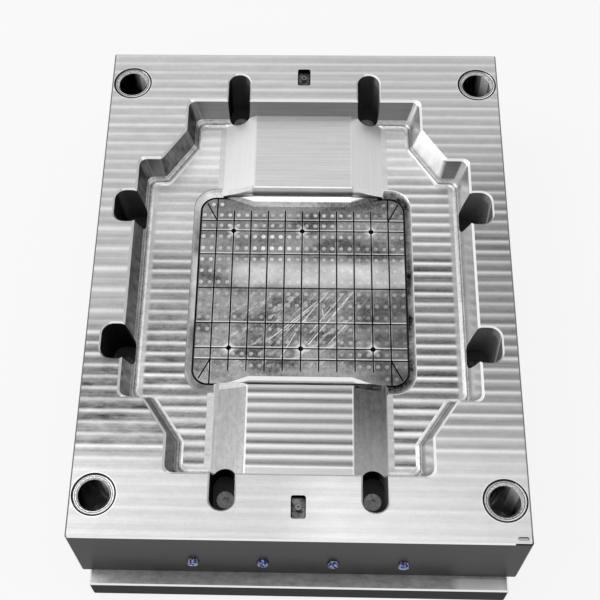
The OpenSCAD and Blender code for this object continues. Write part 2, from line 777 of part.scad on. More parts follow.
// The clamping plate, wider than the cavity plate at the front and back
module clamping_plate() {
    head_d = clamp_screw_d * 1.5 + 2;
    color("slategray") difference() {
        translate([0, 0, z_clamp]) chamfered_block(clamp_w, clamp_d, clamp_t, edge_chamfer);
        translate([0, 0, z_clamp - eps]) {
            cylinder(h = ring_seat_t + eps, d = ring_d + 2 * ring_flange + 2 * fit_gap);
            cylinder(h = clamp_t + 2 * eps, d = inlet_d + 2 * inlet_heater_wall + 2 * heater_gap);
            for (p = clamp_places) translate([p[0], p[1], 0]) {
                cylinder(h = clamp_screw_d + 2 + eps, d = head_d);
                cylinder(h = clamp_t + 2 * eps, d = clamp_screw_d + 2 * fit_gap);
            }
            for (a = [45:90:315]) rotate(a) translate([ring_screw_r, 0, 0])
                cylinder(h = ring_seat_t + ring_screw_grip + 4 + eps, d = ring_screw_d + 2 * fit_gap);
        }
        for (p = plate_dowel_places) translate([p[0], p[1], z_back - plate_dowel_len / 2 - fit_gap])
            cylinder(h = plate_dowel_len, d = plate_dowel_d + 2 * fit_gap);
    }
}

// The locating ring that centres the mould on the machine's platen
module locating_ring() {
    c = ring_chamfer;
    color("gainsboro") difference() {
        rotate_extrude($fn = 96) polygon([
            [ring_bore_d / 2, c], [ring_bore_d / 2 + c, 0], [ring_d / 2 - c, 0], [ring_d / 2, c],
            [ring_d / 2, ring_proud], [ring_d / 2 + ring_flange, ring_proud],
            [ring_d / 2 + ring_flange, ring_proud + ring_seat_t],
            [ring_bore_d / 2, ring_proud + ring_seat_t]
        ]);
        for (a = [45:90:315]) rotate(a) translate([ring_screw_r, 0, -eps]) {
            cylinder(h = ring_screw_d + 1 + eps, d = ring_screw_d * 1.5 + 1);
            cylinder(h = ring_proud + ring_seat_t + 2 * eps, d = ring_screw_d + 2 * fit_gap);
        }
    }
}

// Screws that hold the locating ring
module locating_ring_screws() {
    head_z = ring_screw_d + 1;
    color("dimgray") for (a = [45:90:315]) rotate(a) translate([ring_screw_r, 0, head_z])
        cap_screw(ring_screw_d, ring_proud + ring_seat_t - head_z + ring_screw_grip);
}

// The inlet that takes the melt from the machine's nozzle
module inlet_bush() {
    z_low = z_clamp + ring_seat_t + 4;
    z_flange = z_back - inlet_flange_w;
    z_spigot = z_manifold + inlet_spigot_t;
    flange_r = inlet_d / 2 + inlet_flange_w;
    edge = 2;
    color("goldenrod") difference() {
        rotate_extrude() polygon([
            [0, z_low], [inlet_d / 2 - edge, z_low], [inlet_d / 2, z_low + edge],
            [inlet_d / 2, z_flange], [flange_r, z_flange], [flange_r, z_manifold],
            [melt_d, z_manifold], [melt_d, z_spigot], [0, z_spigot]
        ]);
        translate([0, 0, z_low - eps]) cylinder(h = z_spigot - z_low + 2 * eps, d = melt_d);
        translate([0, 0, z_low - inlet_seat_r * 0.75]) sphere(r = inlet_seat_r);
    }
}

// Band heater around the inlet
module inlet_heater() {
    color("peru") difference() {
        translate([0, 0, z_clamp + ring_seat_t + 10])
            cylinder(h = z_back - z_clamp - ring_seat_t - 18, d = inlet_d + 2 * inlet_heater_wall);
        translate([0, 0, z_clamp]) cylinder(h = clamp_t, d = inlet_d + 2 * fit_gap);
    }
}

// Ring that carries the middle of the manifold on the clamping plate
module centre_support() {
    color("silver") difference() {
        translate([0, 0, z_back]) cylinder(h = manifold_gap, d = manifold_arm_w + 4);
        translate([0, 0, z_back - eps]) cylinder(h = manifold_gap + 2 * eps, d = inlet_d + 2 * inlet_flange_w + 4 * fit_gap);
    }
}

// A closed track that the heater on one manifold arm follows
module heater_track(y_side, grow) {
    translate([0, y_side * gate_y]) rotate(90) difference() {
        slot(2 * heater_path_r + heater_s + 2 * grow, 2 * gate_x + 2 * heater_path_r + heater_s + 2 * grow);
        slot(2 * heater_path_r - heater_s - 2 * grow, 2 * gate_x + 2 * heater_path_r - heater_s - 2 * grow);
    }
}

// The hot runner manifold with its drilled melt channels
module manifold() {
    through = 2 * (gate_x + manifold_arm_w);
    plug_seat = melt_d + 2;
    color("darkgray") difference() {
        translate([0, 0, z_manifold]) linear_extrude(manifold_t) manifold_plan(0);
        for (s = [-1, 1]) {
            translate([0, 0, z_manifold_top - heater_s]) linear_extrude(heater_s + eps) heater_track(s, fit_gap);
            translate([0, 0, z_manifold - eps]) linear_extrude(heater_s + eps) heater_track(s, fit_gap);
            translate([0, s * gate_y, z_melt]) rotate([0, 90, 0]) cylinder(h = through, d = melt_d, center = true);
            for (e = [-1, 1]) translate([e * (gate_x + manifold_r + eps), s * gate_y, z_melt])
                rotate([0, -e * 90, 0]) cylinder(h = plug_seat + eps, d = plug_seat + 2 * fit_gap);
            translate([0, s * (gate_y + manifold_r + eps), z_melt]) rotate([s * 90, 0, 0])
                cylinder(h = plug_seat + eps, d = plug_seat + 2 * fit_gap);
        }
        translate([0, 0, z_melt]) rotate([90, 0, 0])
            cylinder(h = 2 * (gate_y + manifold_arm_w), d = melt_d, center = true);
        for (p = drops) translate([p[0], p[1], z_melt]) cylinder(h = manifold_t, d = melt_d);
        translate([0, 0, z_manifold - eps]) {
            cylinder(h = manifold_t / 2 + eps, d = melt_d);
            cylinder(h = inlet_spigot_t + fit_gap + eps, d = 2 * melt_d + 2 * fit_gap);
        }
        for (dowel = runner_dowels) translate([0, dowel[0], z_manifold_top - dowel_low_grip - fit_gap])
            cylinder(h = dowel_low_grip + fit_gap + eps, d = dowel[1] + 2 * fit_gap);
    }
}

// Plugs in the ends of the drilled melt channels
module manifold_plugs() {
    plug_seat = melt_d + 2;
    color("dimgray") for (s = [-1, 1]) {
        for (e = [-1, 1]) translate([e * (gate_x + manifold_r - 1), s * gate_y, z_melt])
            rotate([0, -e * 90, 0]) cylinder(h = plug_seat - 1, d = plug_seat);
        translate([0, s * (gate_y + manifold_r - 1), z_melt]) rotate([s * 90, 0, 0])
            cylinder(h = plug_seat - 1, d = plug_seat);
    }
}

// One pressed-in heater: side is the manifold arm, z its lower face
module manifold_heater(y_side, z) {
    color("chocolate") translate([0, 0, z]) linear_extrude(heater_s) heater_track(y_side, 0);
}

// A dowel between the manifold and the cavity plate
module runner_dowel(dowel) {
    color("silver") translate([0, dowel[0], z_manifold_top - dowel_low_grip])
        cylinder(h = dowel_low_grip + manifold_gap + dowel_high_grip, d = dowel[1]);
}

// A guide bush with its collar and a lead-in at each end of its bore
module guide_bush(c) {
    r = bush_bore_d / 2;
    body_r = bush_body_d / 2;
    collar_r = bush_collar_d / 2;
    edge = 1.5;
    z_low = z_top - bush_len;
    z_face = z_top - bush_sink;
    color("gainsboro") translate([c[0] * bush_x, c[1] * bush_y, 0]) rotate_extrude() polygon([
        [r, z_low + bush_lead], [r + bush_lead, z_low], [body_r - edge, z_low], [body_r, z_low + edge],
        [body_r, z_top - bush_collar_t], [collar_r, z_top - bush_collar_t],
        [collar_r, z_face - edge], [collar_r - edge, z_face],
        [r + bush_lead, z_face], [r, z_face - bush_lead]
    ]);
}

// A hot runner nozzle with its head, body and tip
module nozzle(p) {
    bore_r = melt_d / 2 - 1;
    color("silver") translate([p[0], p[1], 0]) rotate_extrude() polygon([
        [bore_r, z_manifold_top], [nozzle_head_d / 2, z_manifold_top], [nozzle_head_d / 2, z_head],
        [nozzle_body_d / 2, z_head], [nozzle_body_d / 2, z_tip - 4], [nozzle_tip_d / 2, z_tip],
        [nozzle_tip_d / 2, z_tip_top], [gate_d / 2, z_tip_top], [gate_d / 2, z_tip], [bore_r, z_tip - 4]
    ]);
}

// The heater sleeve around one nozzle
module nozzle_heater(p) {
    color("peru") translate([p[0], p[1], z_head + 1]) difference() {
        cylinder(h = z_tip - z_head - 6, d = nozzle_body_d + 2 * nozzle_heater_wall);
        translate([0, 0, -eps]) cylinder(h = z_tip - z_head, d = nozzle_body_d + 2 * fit_gap);
    }
}

// A pad that carries the manifold behind one nozzle
module pressure_pad(p) {
    color("dimgray") translate([p[0], p[1], z_back]) difference() {
        cylinder(h = manifold_gap, d = pressure_pad_d);
        translate([0, 0, -eps]) cylinder(h = manifold_gap + 2 * eps, d = pressure_pad_bore);
    }
}

// A recessed water connection: x is its place along the front face
module water_nipple(x) {
    seat = water_bore_t;
    bore = water_d / 4;
    neck = water_d / 2 + 0.5;
    lip = water_bore_d / 2 - 3;
    flange = lip + 1;
    shank = water_d / 2 - fit_gap;
    tail = seat + nipple_tail;
    color("steelblue") translate([x, -plate_d / 2, z_water]) rotate([-90, 0, 0])
        rotate_extrude() polygon([
            [bore, 2], [neck, 2], [lip, 4], [lip, 6], [neck, 7.5], [neck, seat - 4],
            [flange, seat - 4], [flange, seat], [shank, seat], [shank, tail], [bore, tail]
        ]);
}

// A plug with a key socket that closes one cross channel
module water_plug(s) {
    color("goldenrod") translate([s * (plate_w / 2 - 1), water_cross_y, z_water]) rotate([0, -s * 90, 0])
        difference() {
            cylinder(h = water_plug_d - 1, d = water_plug_d);
            translate([0, 0, -eps]) cylinder(h = water_plug_d * 0.4 + eps, d = water_plug_d / 2, $fn = 6);
        }
}

// Screws that hold the clamping plate on the cavity plate
module clamp_screws() {
    color("dimgray") for (p = clamp_places) translate([p[0], p[1], z_clamp + clamp_screw_d + 2])
        cap_screw(clamp_screw_d, clamp_t - clamp_screw_d - 2 + clamp_screw_grip);
}

// Screws that hold the insert from behind
module insert_screws() {
    color("dimgray") for (p = insert_places) translate([p[0], p[1], z_insert_screw])
        cap_screw(insert_screw_d, insert_screw_tip - z_insert_screw);
}

// Screws in the two key recesses, heads up
module key_screws() {
    color("dimgray") for (s = [-1, 1]) translate([0, s * key_y, z_top - key_t]) rotate([180, 0, 0])
        cap_screw(key_screw_d, key_screw_len);
}

// A dowel that lines up the two plates
module plate_dowel(p) {
    color("gainsboro") translate([p[0], p[1], z_back - plate_dowel_len / 2])
        cylinder(h = plate_dowel_len, d = plate_dowel_d);
}

cavity_plate();
bottom_insert();
clamping_plate();
locating_ring();
locating_ring_screws();
inlet_bush();
inlet_heater();
centre_support();
manifold();
manifold_plugs();
manifold_heater(-1, z_manifold_top - heater_s);  // heater_front_upper
manifold_heater(-1, z_manifold);  // heater_front_lower
manifold_heater(1, z_manifold_top - heater_s);  // heater_back_upper
manifold_heater(1, z_manifold);  // heater_back_lower
runner_dowel(runner_dowels[0]);  // centre_dowel
runner_dowel(runner_dowels[1]);  // slot_dowel
for (i = [0:3]) guide_bush(corners[i]);
for (i = [0:5]) nozzle(drops[i]);
for (i = [0:5]) nozzle_heater(drops[i]);
for (i = [0:5]) pressure_pad(drops[i]);
for (i = [0:3]) water_nipple(water_x[i]);
water_plug(-1);  // water_plug_left
water_plug(1);  // water_plug_right
clamp_screws();
insert_screws();
key_screws();
plate_dowel(plate_dowel_places[0]);  // plate_dowel_1
plate_dowel(plate_dowel_places[1]);  // plate_dowel_2
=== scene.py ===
"""Fixed half of a crate injection mould, dressed in its steel finishes, on a pale studio floor."""

import json
import math

import bpy
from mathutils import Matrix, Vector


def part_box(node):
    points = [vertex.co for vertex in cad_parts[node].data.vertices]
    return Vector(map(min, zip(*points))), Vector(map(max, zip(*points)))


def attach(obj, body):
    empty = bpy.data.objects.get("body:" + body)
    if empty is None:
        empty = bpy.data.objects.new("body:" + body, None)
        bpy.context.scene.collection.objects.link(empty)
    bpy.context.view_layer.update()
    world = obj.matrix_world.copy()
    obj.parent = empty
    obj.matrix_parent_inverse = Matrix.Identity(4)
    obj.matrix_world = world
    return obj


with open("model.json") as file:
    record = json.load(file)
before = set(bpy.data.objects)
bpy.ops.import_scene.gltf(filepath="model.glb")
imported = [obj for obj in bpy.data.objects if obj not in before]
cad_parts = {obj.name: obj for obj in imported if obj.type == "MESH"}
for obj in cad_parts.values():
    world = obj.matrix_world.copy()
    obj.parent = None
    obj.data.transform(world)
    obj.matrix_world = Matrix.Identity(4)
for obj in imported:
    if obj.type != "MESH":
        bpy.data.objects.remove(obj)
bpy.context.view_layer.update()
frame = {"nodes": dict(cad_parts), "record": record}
nodes = frame["nodes"]

# Places and sizes in millimetres, as in the part's source
MM = 0.001
TOP = 238
FLOOR = 186
PAD = FLOOR + 18
INSERT = 181
HALF_WIDTH = 350
HALF_DEPTH = 460
RAMP_BROW = 85
RAMP_FOOT = 140
BUSH_X, BUSH_Y = 312, 392
BUSH_BORE_R = 24.4
BUSH_LEAD_R = 27.4
BUSH_STEP_R = 29.2
BUSH_GROOVE_SHADE_R = 33.2
BUSH_HALO_R = 35.5
END_SLOT = (117, 375)
END_SLOT_HALF = (19.5, 38.5)
SIDE_SLOT = (301, 130)
SIDE_SLOT_HALF = (23.5, 31.5)
SLOT_END_R = 19.5
SLOT_TURN = math.radians(5)
SLOT_LEAN = math.tan(SLOT_TURN)
KEY_Y = 407
CROSS_RIBS = (67, 114, 135)
RIB_PITCH = 30
GATE_X, GATE_Y = 120, 114

# Step-over of the mill and the place of one bright line: parting face, pocket floor, front pad
FACE_PITCH, FACE_PEAK = 19.75, 2.4
FLOOR_PITCH, FLOOR_PEAK = 19.67, -10.8
PAD_PITCH, PAD_PEAK = 17.63, -208.7

# How a mill's step-over band runs in tone across the feed: dark, the bright line in the middle, dark again
MILL_BAND = [(0, 0.06), (0.12, 0.1), (0.24, 0.28), (0.38, 0.6), (0.47, 0.97), (0.53, 1), (0.62, 0.66),
             (0.72, 0.2), (0.82, 0.02), (1, 0.06)]
WIDE_BAND = [(0, 0.03), (0.12, 0.16), (0.28, 0.55), (0.42, 0.86), (0.52, 1), (0.62, 0.86), (0.76, 0.3),
             (0.88, 0.03), (1, 0.03)]

# Long scratches on the insert: from x, y to x, y, and half their width
SCRATCHES = [(87, -7, 12, -107, 0.7), (72, -9, 15, -85, 0.5), (45, -7, -1, -69, 0.5),
             (27, -25, -54, -99, 0.6), (-9, -85, -33, -130, 0.5), (76, -68, 47, -104, 0.5),
             (14, -41, -34, -86, 0.4), (35, -39, 39, -57, 0.5)]

# The small pieces that this script adds, in metres. A step of the pin's head is an inset and a rise
RING_R = 0.008
RING_LENGTH = 0.011
RING_WALL = 0.0024
RING_ROUNDING = 0.0011
RING_STANDS_OUT = 0.0016
PIN_R = 0.0024
PIN_LENGTH = 0.014
PIN_STEPS = ((0.0007, 0.0022), (0.0006, 0.0008))
PIN_ROUNDING = 0.00025
PIN_LIES_IN = 0.0045
DISC_R = 0.0142
DISC_HEIGHT = 0.0036
DISC_INSETS = (0.0012, 0.0098)
DISC_RECESS = 0.0022
DISC_CHAMFER = 0.0006
DISC_DOWN_SLOT = 0.092

# How much of the floor's white shows: the rest is light and shadow
FLOOR_GLOW = 0.86

# The camera's place in metres, its turn in degrees and its lens in millimetres
CAMERA_PLACE = (0.01069, -1.00618, 2.01658)
CAMERA_TURN = (28.1997, 1.2522, 1.3816)
CAMERA_LENS = 73.61
CAMERA_SHIFT = 0.05


class Finish:
    """A steel finish, built node by node. Places are in millimetres on the mould."""

    def __init__(self, name, metallic=1.0, roughness=0.4):
        self.material = bpy.data.materials.new(name)
        self.material.use_nodes = True
        self.nodes = self.material.node_tree.nodes
        self.links = self.material.node_tree.links
        self.shader = self.nodes["Principled BSDF"]
        self.shader.inputs["Metallic"].default_value = metallic
        self.shader.inputs["Roughness"].default_value = roughness
        place = self.nodes.new("ShaderNodeTexCoord")
        scale = self.nodes.new("ShaderNodeVectorMath")
        scale.operation = "SCALE"
        scale.inputs["Scale"].default_value = 1000
        self.links.new(place.outputs["Object"], scale.inputs[0])
        self.place = scale.outputs[0]
        self.x, self.y, self.z = self.split(self.place)
        facing = self.nodes.new("ShaderNodeNewGeometry")
        self.nx, self.ny, self.nz = self.split(facing.outputs["True Normal"])
        self.reach_x = self.absolute(self.x)
        self.reach_y = self.absolute(self.y)

    def feed(self, socket, value):
        """Gives a socket a number, or links it to another node's output."""
        if isinstance(value, (int, float, tuple, list)):
            socket.default_value = value
        else:
            self.links.new(value, socket)

    def split(self, vector):
        node = self.nodes.new("ShaderNodeSeparateXYZ")
        self.links.new(vector, node.inputs[0])
        return node.outputs[0], node.outputs[1], node.outputs[2]

    def math(self, operation, a, b=0.0):
        node = self.nodes.new("ShaderNodeMath")
        node.operation = operation
        self.feed(node.inputs[0], a)
        self.feed(node.inputs[1], b)
        return node.outputs[0]

    def add(self, *parts):
        out = parts[0]
        for part in parts[1:]:
            out = self.math("ADD", out, part)
        return out

    def times(self, *factors):
        out = factors[0]
        for factor in factors[1:]:
            out = self.math("MULTIPLY", out, factor)
        return out

    def absolute(self, a):
        return self.math("ABSOLUTE", a)

    def inverse(self, a):
        return self.math("SUBTRACT", 1.0, a)

    def least(self, a, b):
        return self.math("MINIMUM", a, b)

    def most(self, a, b):
        return self.math("MAXIMUM", a, b)

    def distance(self, across, along):
        """How far off a place is that lies so far across and so far along."""
        return self.math("SQRT", self.add(self.times(across, across), self.times(along, along)))

    def step(self, value, low, high, to_low=0.0, to_high=1.0):
        """Turns low..high of the value into to_low..to_high, held outside of it."""
        node = self.nodes.new("ShaderNodeMapRange")
        node.interpolation_type = "SMOOTHSTEP"
        self.feed(node.inputs["Value"], value)
        for name, number in (("From Min", low), ("From Max", high), ("To Min", to_low), ("To Max", to_high)):
            self.feed(node.inputs[name], number)
        return node.outputs["Result"]

    def within(self, value, low, high, soft):
        """1 between low and high, falling to 0 over the soft distance on both sides."""
        return self.times(self.step(value, low - soft, low), self.step(value, high, high + soft, 1.0, 0.0))

    def near(self, value, middle, half, soft=0.3):
        """1 up to half a width from the middle, falling to 0 over the soft distance."""
        return self.within(value, middle - half, middle + half, soft)

    def curve(self, value, points):
        """A value between 0 and 1, led through the points of a curve."""
        node = self.nodes.new("ShaderNodeFloatCurve")
        line = node.mapping.curves[0]
        line.points[0].location = points[0]
        line.points[1].location = points[-1]
        for point in points[1:-1]:
            line.points.new(*point)
        for point in line.points:
            point.handle_type = "AUTO_CLAMPED"
        node.mapping.update()
        self.feed(node.inputs["Value"], value)
        return node.outputs[0]

    def noise(self, size, detail=3.0, rough=0.5, stretch=(1, 1, 1), turn=0.0):
        """Noise whose grains are about size millimetres across, drawn out by stretch, -0.5 to 0.5."""
        turned = self.nodes.new("ShaderNodeMapping")
        turned.vector_type = "TEXTURE"
        turned.inputs["Rotation"].default_value = (0, 0, math.radians(turn))
        turned.inputs["Scale"].default_value = tuple(size * s for s in stretch)
        self.links.new(self.place, turned.inputs["Vector"])
        node = self.nodes.new("ShaderNodeTexNoise")
        node.inputs["Scale"].default_value = 1.0
        node.inputs["Detail"].default_value = detail
        node.inputs["Roughness"].default_value = rough
        self.links.new(turned.outputs[0], node.inputs["Vector"])
        return self.add(node.outputs["Fac"], -0.5)

    def chance(self, value):
        """A number between 0 and 1 that differs for each whole number."""
        node = self.nodes.new("ShaderNodeTexWhiteNoise")
        node.noise_dimensions = "1D"
        self.feed(node.inputs["W"], value)
        return node.outputs["Value"]

    def mix(self, factor, a, b):
        """a where the factor is 0, b where it is 1."""
        node = self.nodes.new("ShaderNodeMix")
        node.data_type = "FLOAT"
        for socket, value in zip((node.inputs[0], node.inputs[2], node.inputs[3]), (factor, a, b)):
            self.feed(socket, value)
        return node.outputs[0]

    def tint(self, grey, colour=(1.0, 1.0, 1.0)):
        """The grey as a colour: each part of the tint times the grey."""
        node = self.nodes.new("ShaderNodeCombineColor")
        for socket, part in zip(node.inputs, colour):
            self.feed(socket, self.times(grey, part) if part != 1.0 else grey)
        return node.outputs[0]

    def colour(self, value):
        self.feed(self.shader.inputs["Base Color"], value)

    def roughness(self, value):
        self.feed(self.shader.inputs["Roughness"], value)

    def metallic(self, value):
        self.feed(self.shader.inputs["Metallic"], value)

    def bump(self, height, depth):
        """Height in the range 0..1, which is depth millimetres deep on the piece."""
        node = self.nodes.new("ShaderNodeBump")
        node.inputs["Strength"].default_value = 1.0
        node.inputs["Distance"].default_value = depth * MM
        self.links.new(height, node.inputs["Height"])
        self.links.new(node.outputs[0], self.shader.inputs["Normal"])

    def line(self, start, end, half):
        """1 along a straight scratch between two places on the face, fading at its ends."""
        length = math.hypot(end[0] - start[0], end[1] - start[1])
        lean_x, lean_y = (end[0] - start[0]) / length, (end[1] - start[1]) / length
        off_x, off_y = self.add(self.x, -start[0]), self.add(self.y, -start[1])
        along = self.add(self.times(off_x, lean_x), self.times(off_y, lean_y))
        across = self.add(self.times(off_x, -lean_y), self.times(off_y, lean_x))
        return self.times(self.within(along, 3, length - 3, 6), self.near(across, 0, half, 0.6))

    def from_bush(self):
        """Distance from the axis of the nearest guide bush."""
        return self.distance(self.add(self.reach_x, -BUSH_X), self.add(self.reach_y, -BUSH_Y))

    def bands(self, pitch, peak, points):
        """A mill's step-over bands across Y, brightest at peak: tone about 0, each band a little its own."""
        drift = self.noise(260, 2.0, 0.5, stretch=(1, 0.2, 1))
        count = self.add(self.times(self.add(self.y, drift, -peak), 1 / pitch), 0.5)
        mean = sum((x1 - x0) * (y0 + y1) / 2 for (x0, y0), (x1, y1) in zip(points, points[1:]))
        tone = self.add(self.curve(self.math("FRACT", count), points), -mean)
        own = self.chance(self.math("FLOOR", count))
        return self.times(tone, self.add(0.7, self.times(own, 0.6)))


class PlateFinish(Finish):
    """The cavity plate's finish, with the patterns and kinds of face that several of its regions share."""

    def __init__(self):
        super().__init__("milled_plate", metallic=0.9)
        self.shader.inputs["Specular Tint"].default_value = (0.5, 0.5, 0.5, 1)
        self.cloud = self.noise(90, 4.0, 0.55)
        self.mottle = self.noise(14, 4.0, 0.65)
        self.streak = self.noise(4, 3.0, 0.6, stretch=(60, 1, 1))
        self.grit = self.noise(2.6, 3.0, 0.75, stretch=(2.2, 1, 1))
        # Masks by the way a face turns, used to paint light and shade: faces turned left are painted paler,
        # and the cut facet white as a painted highlight
        self.facing_left = self.step(self.nx, 0.3, -0.3)
        self.cut_facet = self.times(self.step(self.nx, -0.4, -0.6), self.step(self.ny, -0.2, -0.35))
        slanted = self.within(self.nz, 0.86, 0.97, 0.03)
        beside_pad = self.times(self.step(self.reach_x, RAMP_FOOT + 4, RAMP_FOOT + 2),
                                self.step(self.reach_x, RAMP_BROW - 1, RAMP_BROW))
        self.on_ramp = self.times(slanted, self.step(self.reach_y, 180, 184), beside_pad)


def slot_gap(f, middle, half, leans_in_x):
    """How far a place is from the nearest leaning slot's wall, below 0 inside it, and from its axis."""
    shift = f.times(f.math("SUBTRACT", TOP, f.z), SLOT_LEAN)
    across = f.add(f.reach_x, -middle[0])
    along = f.add(f.reach_y, -middle[1])
    if leans_in_x:
        across = f.add(across, shift)
    else:
        along = f.add(along, shift)
    over_x = f.most(f.add(f.absolute(across), SLOT_END_R - half[0]), 0.0)
    over_y = f.most(f.add(f.absolute(along), SLOT_END_R - half[1]), 0.0)
    return f.add(f.distance(over_x, over_y), -SLOT_END_R), f.distance(across, along)


def parting_face(f):
    """Tone of the parting face: flat and finely lined at the back, strongly banded low left and right."""
    place = f.add(f.times(f.y, 1 / (2 * HALF_DEPTH)), 0.5)
    left = f.curve(place, [(0, 0.52), (0.1, 0.52), (0.17, 0.34), (0.26, 0.25), (0.36, 0.34), (0.44, 0.47),
                           (0.65, 0.57), (0.85, 0.66), (1, 0.69)])
    right = f.curve(place, [(0, 0.68), (0.12, 0.66), (0.2, 0.52), (0.3, 0.43), (0.4, 0.39), (0.6, 0.39),
                            (0.7, 0.44), (0.8, 0.6), (1, 0.66)])
    side = f.step(f.x, -60, 60)
    tone = f.mix(side, left, right)
    left_power = f.curve(place, [(0, 0.06), (0.11, 0.08), (0.17, 0.34), (0.34, 0.34), (0.42, 0.12),
                                 (0.6, 0.12), (0.7, 0.2), (1, 0.2)])
    right_power = f.curve(place, [(0, 0.06), (0.13, 0.12), (0.19, 0.4), (0.42, 0.42), (0.62, 0.4),
                                  (0.74, 0.27), (1, 0.2)])
    wide_power = f.times(f.within(place, 0.38, 0.62, 0.05), f.inverse(side), 0.2)
    narrow = f.bands(FACE_PITCH, FACE_PEAK, MILL_BAND)
    wide = f.bands(2 * FACE_PITCH, FACE_PEAK, MILL_BAND)
    tone = f.add(tone, f.times(narrow, f.mix(side, left_power, right_power)), f.times(wide, wide_power))
    smudge = f.noise(16, 4.0, 0.7, stretch=(2.5, 1, 1))
    smudge_power = f.mix(side, f.add(f.times(left_power, 0.9), 0.05), 0.14)
    marred = f.times(f.within(f.x, -300, -200, 60), f.within(f.y, -270, -190, 60), 0.22)
    return f.add(tone, f.times(smudge, smudge_power), f.times(smudge, marred))


def pocket_floor(f):
    """Tone of the pocket's floor: deep bands, plainer near the walls and the feet of the ramps."""
    right = f.step(f.x, -60, 80)
    back = f.step(f.y, 40, 120)
    far_back = f.step(f.y, 200, 250)
    front = f.step(f.y, -170, -240)
    tone = f.mix(right, 0.39, 0.43)
    tone = f.mix(back, tone, f.mix(right, 0.63, 0.6))
    tone = f.mix(far_back, tone, f.mix(right, 0.9, 0.8))
    tone = f.mix(front, tone, f.mix(right, 0.38, 0.47))
    power = f.mix(right, 0.4, 0.74)
    power = f.mix(back, power, f.mix(right, 0.2, 0.62))
    power = f.mix(far_back, power, 0.22)
    stained = f.times(f.inverse(right), f.within(f.y, -190, -70, 50))
    tone = f.mix(stained, tone, 0.34)
    power = f.mix(stained, power, 0.52)
    ramp_foot = f.times(f.within(f.reach_x, RAMP_FOOT + 1, RAMP_FOOT + 10, 1.5), f.step(f.reach_y, 180, 186))
    wall_foot = f.most(f.step(f.reach_x, 254, 260), f.step(f.reach_y, 322, 327))
    margin = f.most(ramp_foot, wall_foot)
    plain = f.inverse(margin)
    tone = f.mix(margin, tone, f.mix(f.step(f.y, 120, 200), 0.5, 0.74))
    narrow = f.times(f.bands(FLOOR_PITCH, FLOOR_PEAK, MILL_BAND), power, f.inverse(front),
                     f.add(0.1, f.times(plain, 0.9)))
    wide = f.times(f.bands(FLOOR_PITCH, FLOOR_PEAK, WIDE_BAND), front, plain, f.mix(right, 0.46, 0.66))
    smudge = f.noise(12, 4.0, 0.65, stretch=(2.5, 1, 1))
    smudge_power = f.mix(front, f.mix(stained, 0.24, 0.5), 0.34)
    return f.add(tone, narrow, wide, f.times(smudge, smudge_power))


def pad_faces(f):
    """Tone of the pads' flat tops: pale and finely lined at the back, deep bands at the front."""
    front = f.step(f.y, 100, -100)
    tone = f.mix(front, 0.72, 0.43)
    place = f.times(f.reach_y, 1 / HALF_DEPTH)
    power = f.times(front, f.curve(place, [(0, 0.56), (0.6, 0.56), (0.72, 0.4), (0.76, 0.2), (1, 0.1)]))
    fine = f.noise(3, 2.0, 0.6, stretch=(60, 1, 1))
    tone = f.add(tone, f.times(f.bands(PAD_PITCH, PAD_PEAK, WIDE_BAND), power))
    tone = f.add(tone, f.times(fine, f.mix(front, 0.3, 0.14)))
    ledge = f.times(front, f.step(f.reach_y, 329, 331))
    tone = f.mix(ledge, tone, 0.52)
    # Painted highlight lines along the edges of the pads
    edge = f.most(f.near(f.reach_x, RAMP_BROW - 0.2, 0.5, 0.5), f.near(f.reach_y, 331, 0.9, 0.5))
    return f.mix(f.times(edge, 0.7), tone, 0.85)


def walls(f):
    """Tone of the leaning walls, painted by the way they face: right-facing ones darker as painted shade and
    stained, left-facing ones pale as painted light.
    """
    stain = f.noise(10, 4.0, 0.7, stretch=(1, 1.2, 4))
    # Right-facing walls: painted shade, darker towards the back, with stains
    shaded_and_stained = f.add(f.step(f.y, 150, -220, 0.17, 0.41), f.times(stain, f.step(f.y, 150, -220, 0.5, 0.85)))
    side_lines = f.noise(6, 3.0, 0.6, stretch=(1, 30, 1))
    # Left-facing walls: pale as painted light, with fine lines
    pale = f.add(f.step(f.y, 100, 170, 0.86, 1.0), f.times(side_lines, 0.16))
    tone = f.mix(f.facing_left, shaded_and_stained, pale)
    # A painted highlight line near the top of the left-facing walls, and the cut facet painted white as a
    # painted highlight
    tone = f.mix(f.times(f.facing_left, f.near(f.z, TOP - 6, 0.8, 0.8), 0.5), tone, 0.85)
    tone = f.mix(f.cut_facet, tone, 1.0)
    # Walls facing the front painted dark as painted shade, with fine lines
    facing_front = f.times(f.step(f.ny, -0.8, -0.95), f.step(f.nz, 0.5, 0.3))
    front_lines = f.noise(4, 3.0, 0.6, stretch=(30, 1, 1))
    return f.mix(facing_front, tone, f.add(0.3, f.times(front_lines, 0.14)))


# Each region below gives the places it covers, from 0 to 1, and its tone

def coves(f):
    """The worn coves at the foot of the walls, painted paler where they face left and with a darker band as
    painted light and shade, and a painted highlight line along either edge.
    """
    rounded = f.times(f.step(f.nz, 0.29, 0.34), f.within(f.z, FLOOR + 0.02, FLOOR + 10, 0.4))
    worn = f.noise(5, 4.0, 0.7)
    # Painted light and shade: paler where the cove faces left, mid grey where it faces the front, darker in a
    # band at mid height
    tone = f.mix(f.facing_left, 0.42, 0.62)
    tone = f.mix(f.step(f.ny, -0.15, -0.3), tone, 0.52)
    tone = f.add(tone, f.times(f.mottle, 0.5), f.times(f.grit, 0.5))
    tone = f.times(tone, f.mix(f.near(f.z, FLOOR + 2.2, 0.5, 0.5), 1.0, 0.45))
    tone = f.add(tone, f.times(worn, 0.5))
    # A painted highlight line along either edge
    line = f.most(f.step(f.z, FLOOR + 0.6, FLOOR + 0.4), f.near(f.z, FLOOR + 8.6, 0.7, 0.5))
    line_power = f.least(f.add(0.75, f.times(f.mottle, 1.2), worn), 1.0)
    return f.times(rounded, f.inverse(f.on_ramp)), f.mix(f.times(line, line_power), tone, 0.92)


